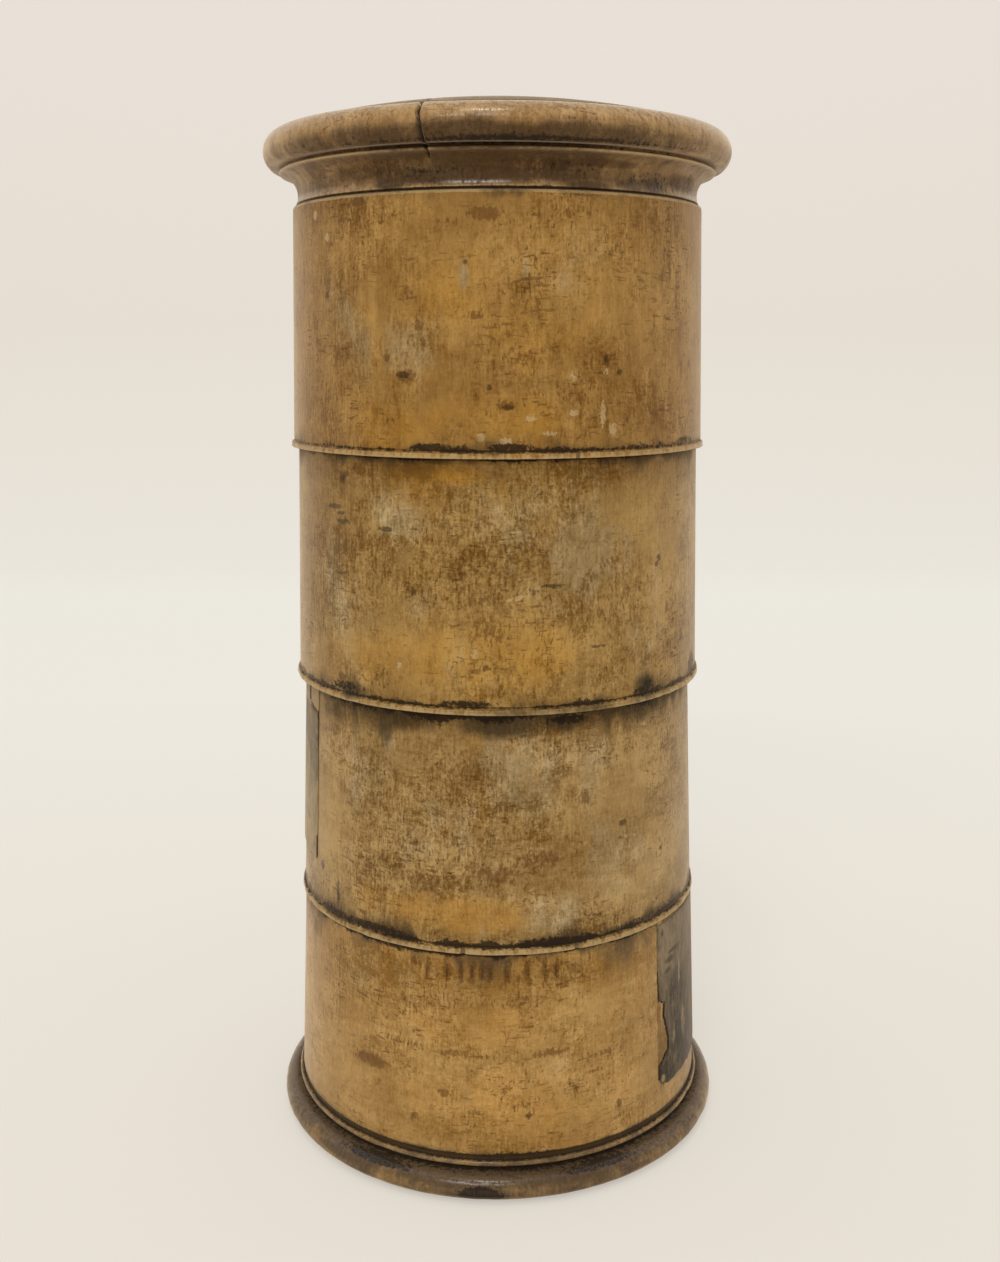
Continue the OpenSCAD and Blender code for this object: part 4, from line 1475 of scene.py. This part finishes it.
BASE_LABEL = Label(
    "base_label", "base", seat=0.0, low_r=BASE_LOW_R, low_z=BASE_WALL_LOW, rim_r=BASE_RIM_R,
    rim_z=SEAT_THIRD - RIM_ROUND,
    left=49.7, right=144.7, low=12.2, high=44.5, corner=1.7, seed=71,
    tear=[
        (12.0, 0.0), (16.9, 0.0), (17.8, 1.5), (18.4, 1.9), (19.2, 3.2), (21.6, 3.3), (23.2, 2.6),
        (25.4, 2.1), (26.2, 1.6), (28.8, 1.8), (29.6, 0.4), (30.4, 0.0), (45.0, 0.0),
    ],
    tones=[(12.0, 0.05), (18.0, 0.1), (28.0, 0.2), (33.0, 0.3), (36.0, 0.6), (45.0, 0.75)],
    edge_line_and_shadow=[
        (12.0, 0.5), (16.0, 0.9), (17.0, 0.1), (29.0, 0.1), (30.0, 1.4), (34.0, 1.1), (36.0, 0.5),
        (44.0, 0.5),
    ],
    dark=[
        (56, 36.6, 2.0, 0.7, 1.1), (59, 38.0, 3.0, 0.5, 0.9), (55, 34.6, 1.4, 0.6, 0.8),
        (52.5, 15.5, 1.6, 1.6, 1.0), (60, 18.6, 3.4, 1.8, 0.9), (66, 24.0, 1.4, 5.0, 0.6),
        (52, 42.6, 0.6, 1.2, 0.6), (58, 30.5, 2.0, 2.0, 0.5),
    ],
    pale=[
        (62, 33.0, 0.6, 3.2, 0.8), (51.6, 14.0, 0.6, 0.8, 1.4), (65, 22.0, 1.2, 4.0, 0.6),
        (58, 21.0, 0.7, 3.0, 0.6),
    ],
)
LABEL_PAPER = {
    "third_label": old_paper("third_label_paper", Paper(
        dark=rgb(72, 63, 50), light=rgb(166, 144, 108), torn=(160, 134, 98))),
    "base_label": old_paper("base_label_paper", Paper(
        dark=rgb(44, 37, 28), light=rgb(138, 119, 92), torn=(178, 144, 96))),
}
for label in (THIRD_LABEL, BASE_LABEL):
    paper = LABEL_PAPER[label.node]
    on_scene("pasted_" + label.node, label_mesh(label), paper, label.body, label.node)


# Floor, light and camera

FLOOR_SIZE = 3.0

# Share of the floor's brightness that a shadow can take away, and the brightness of its own share
SHADOW_DEPTH = 0.42
FLOOR_LIGHT = 0.91

FLOOR_ROUGH = 0.9
FLOOR_SPECULAR = 0.1
SWEEP_START = 0.62
SWEEP_R = 0.3
SWEEP_STEPS = 24
SWEEP_TOP = 1.6

# Painted light: tones at distances in metres along the floor and up the backdrop, palest towards the back of
# the floor
SWEEP_PAINTED_LIGHT = [
    (-0.05, rgb(240, 234, 224)), (0.08, rgb(243, 238, 228)), (0.3, rgb(248, 245, 236)),
    (0.55, rgb(249, 247, 238)), (0.95, rgb(243, 236, 226)), (1.2, rgb(246, 239, 231)),
]


def sweep_mesh():
    """A pale floor that curves up into a backdrop: floor, quarter circle and wall, carried across in X."""
    a = np.linspace(-np.pi / 2.0, 0.0, SWEEP_STEPS)
    bend = np.stack([SWEEP_START + SWEEP_R * np.cos(a), SWEEP_R + SWEEP_R * np.sin(a)], axis=1)
    wall = np.array([[SWEEP_START + SWEEP_R, SWEEP_TOP]])
    side = np.concatenate([np.array([[-FLOOR_SIZE, 0.0]]), bend, wall])
    x = np.array([-FLOOR_SIZE, FLOOR_SIZE])
    points = np.stack(np.broadcast_arrays(x[None, :], side[:, :1], side[:, 1:]), axis=-1).reshape(-1, 3)
    index = np.arange(len(side) * 2).reshape(-1, 2)
    quads = np.stack([index[:-1, 0], index[:-1, 1], index[1:, 1], index[1:, 0]], axis=-1)
    mesh = bpy.data.meshes.new("sweep")
    mesh.from_pydata(points, [], quads.tolist())
    mesh.polygons.foreach_set("use_smooth", np.ones(len(quads), bool))
    steps = np.hypot(*np.diff(side, axis=0).T)
    length = side[0, 0] + np.concatenate([[0.0], np.cumsum(steps)])
    set_values(mesh, "length", np.repeat(length, 2))
    return mesh


def paper_sweep():
    """Matt cream paper for the floor and backdrop, with painted light: a little paler at the back of the
    floor.
    """
    made, tree, shader = material("sweep_paper")
    first, last = SWEEP_PAINTED_LIGHT[0][0], SWEEP_PAINTED_LIGHT[-1][0]
    inputs = {"Value": attribute(tree, "length"), "From Min": first, "From Max": last}
    tones = put(tree, "ShaderNodeValToRGB", {0: put(tree, "ShaderNodeMapRange", inputs).outputs[0]})
    stops = tones.color_ramp.elements
    for place, _ in SWEEP_PAINTED_LIGHT[1:-1]:
        stops.new((place - first) / (last - first))
    for stop, (_, tone) in zip(stops, SWEEP_PAINTED_LIGHT):
        stop.color = tone
    lit = mixed(tree, 1.0, tones.outputs[0], (SHADOW_DEPTH, SHADOW_DEPTH, SHADOW_DEPTH, 1.0), "MULTIPLY")
    fill(tree, shader, {
        "Base Color": lit, "Emission Color": tones.outputs[0],
        "Emission Strength": FLOOR_LIGHT * (1.0 - SHADOW_DEPTH),
        "Roughness": FLOOR_ROUGH, "Specular IOR Level": FLOOR_SPECULAR,
    })
    return made


sweep = bpy.data.objects.new("sweep", sweep_mesh())
sweep.data.materials.append(paper_sweep())
bpy.context.scene.collection.objects.link(sweep)

ROOM_COLOUR = (1.0, 0.985, 0.965, 1.0)
ROOM_STRENGTH = 0.77

# Share by which reflections of the viewer's side are dimmed, and the range of Y over which this sets in
MIRROR_DIM = 0.85
DIM_RANGE = (0.1, -0.7)


def soft_room():
    """Even pale light from all round: its strength, less a share in reflections of the viewer's side."""
    world = bpy.data.worlds.new("soft_room")
    bpy.context.scene.world = world
    world.use_nodes = True
    tree = world.node_tree
    room = tree.nodes["Background"]
    room.inputs["Color"].default_value = ROOM_COLOUR
    direction = put(tree, "ShaderNodeTexCoord").outputs["Generated"]
    depth = put(tree, "ShaderNodeSeparateXYZ", {0: direction}).outputs["Y"]
    dimming = ramp(tree, depth, *DIM_RANGE, 0.0, MIRROR_DIM)
    mirrored = put(tree, "ShaderNodeLightPath").outputs["Is Glossy Ray"]
    lost = times(tree, times(tree, dimming, mirrored), ROOM_STRENGTH)
    tree.links.new(maths(tree, "SUBTRACT", ROOM_STRENGTH, lost), room.inputs["Strength"])


soft_room()

LAMP_COLOUR = (1.0, 0.98, 0.95)
LAMP_AIM = (0.0, 0.0, 0.1)


def area_light(name, place, width, tall, power):
    """An oblong soft light at a place, turned towards the point at which all lamps aim."""
    lamp = bpy.data.lights.new(name, "AREA")
    lamp.shape = "RECTANGLE"
    lamp.size = width
    lamp.size_y = tall
    lamp.energy = power
    lamp.color = LAMP_COLOUR
    lit = bpy.data.objects.new(name, lamp)
    lit.location = place
    towards = np.array(LAMP_AIM) - np.array(place)
    lit.rotation_euler = Vector(towards).to_track_quat("-Z", "Y").to_euler()
    bpy.context.scene.collection.objects.link(lit)


area_light("overhead", place=(-0.04, -0.3, 0.75), width=0.1, tall=0.08, power=0.6)
area_light("window", place=(-0.107, -0.499, 0.547), width=0.3, tall=0.1, power=0.95)

CAMERA_PLACE = (0.0, -0.2529, 0.1477)
CAMERA_PITCH = 90.0 - 11.96
CAMERA_YAW = -0.103
CAMERA_LENS = 38.4
SENSOR_W = 36.0
NEAREST = 0.01
lens = bpy.data.cameras.new("photo_view")
lens.lens = CAMERA_LENS
lens.sensor_width = SENSOR_W
lens.clip_start = NEAREST
camera = bpy.data.objects.new("photo_view", lens)
camera.location = CAMERA_PLACE
camera.rotation_euler = (radians(CAMERA_PITCH), 0.0, radians(CAMERA_YAW))
bpy.context.scene.collection.objects.link(camera)
bpy.context.scene.camera = camera
bpy.context.scene.view_settings.view_transform = "Standard"
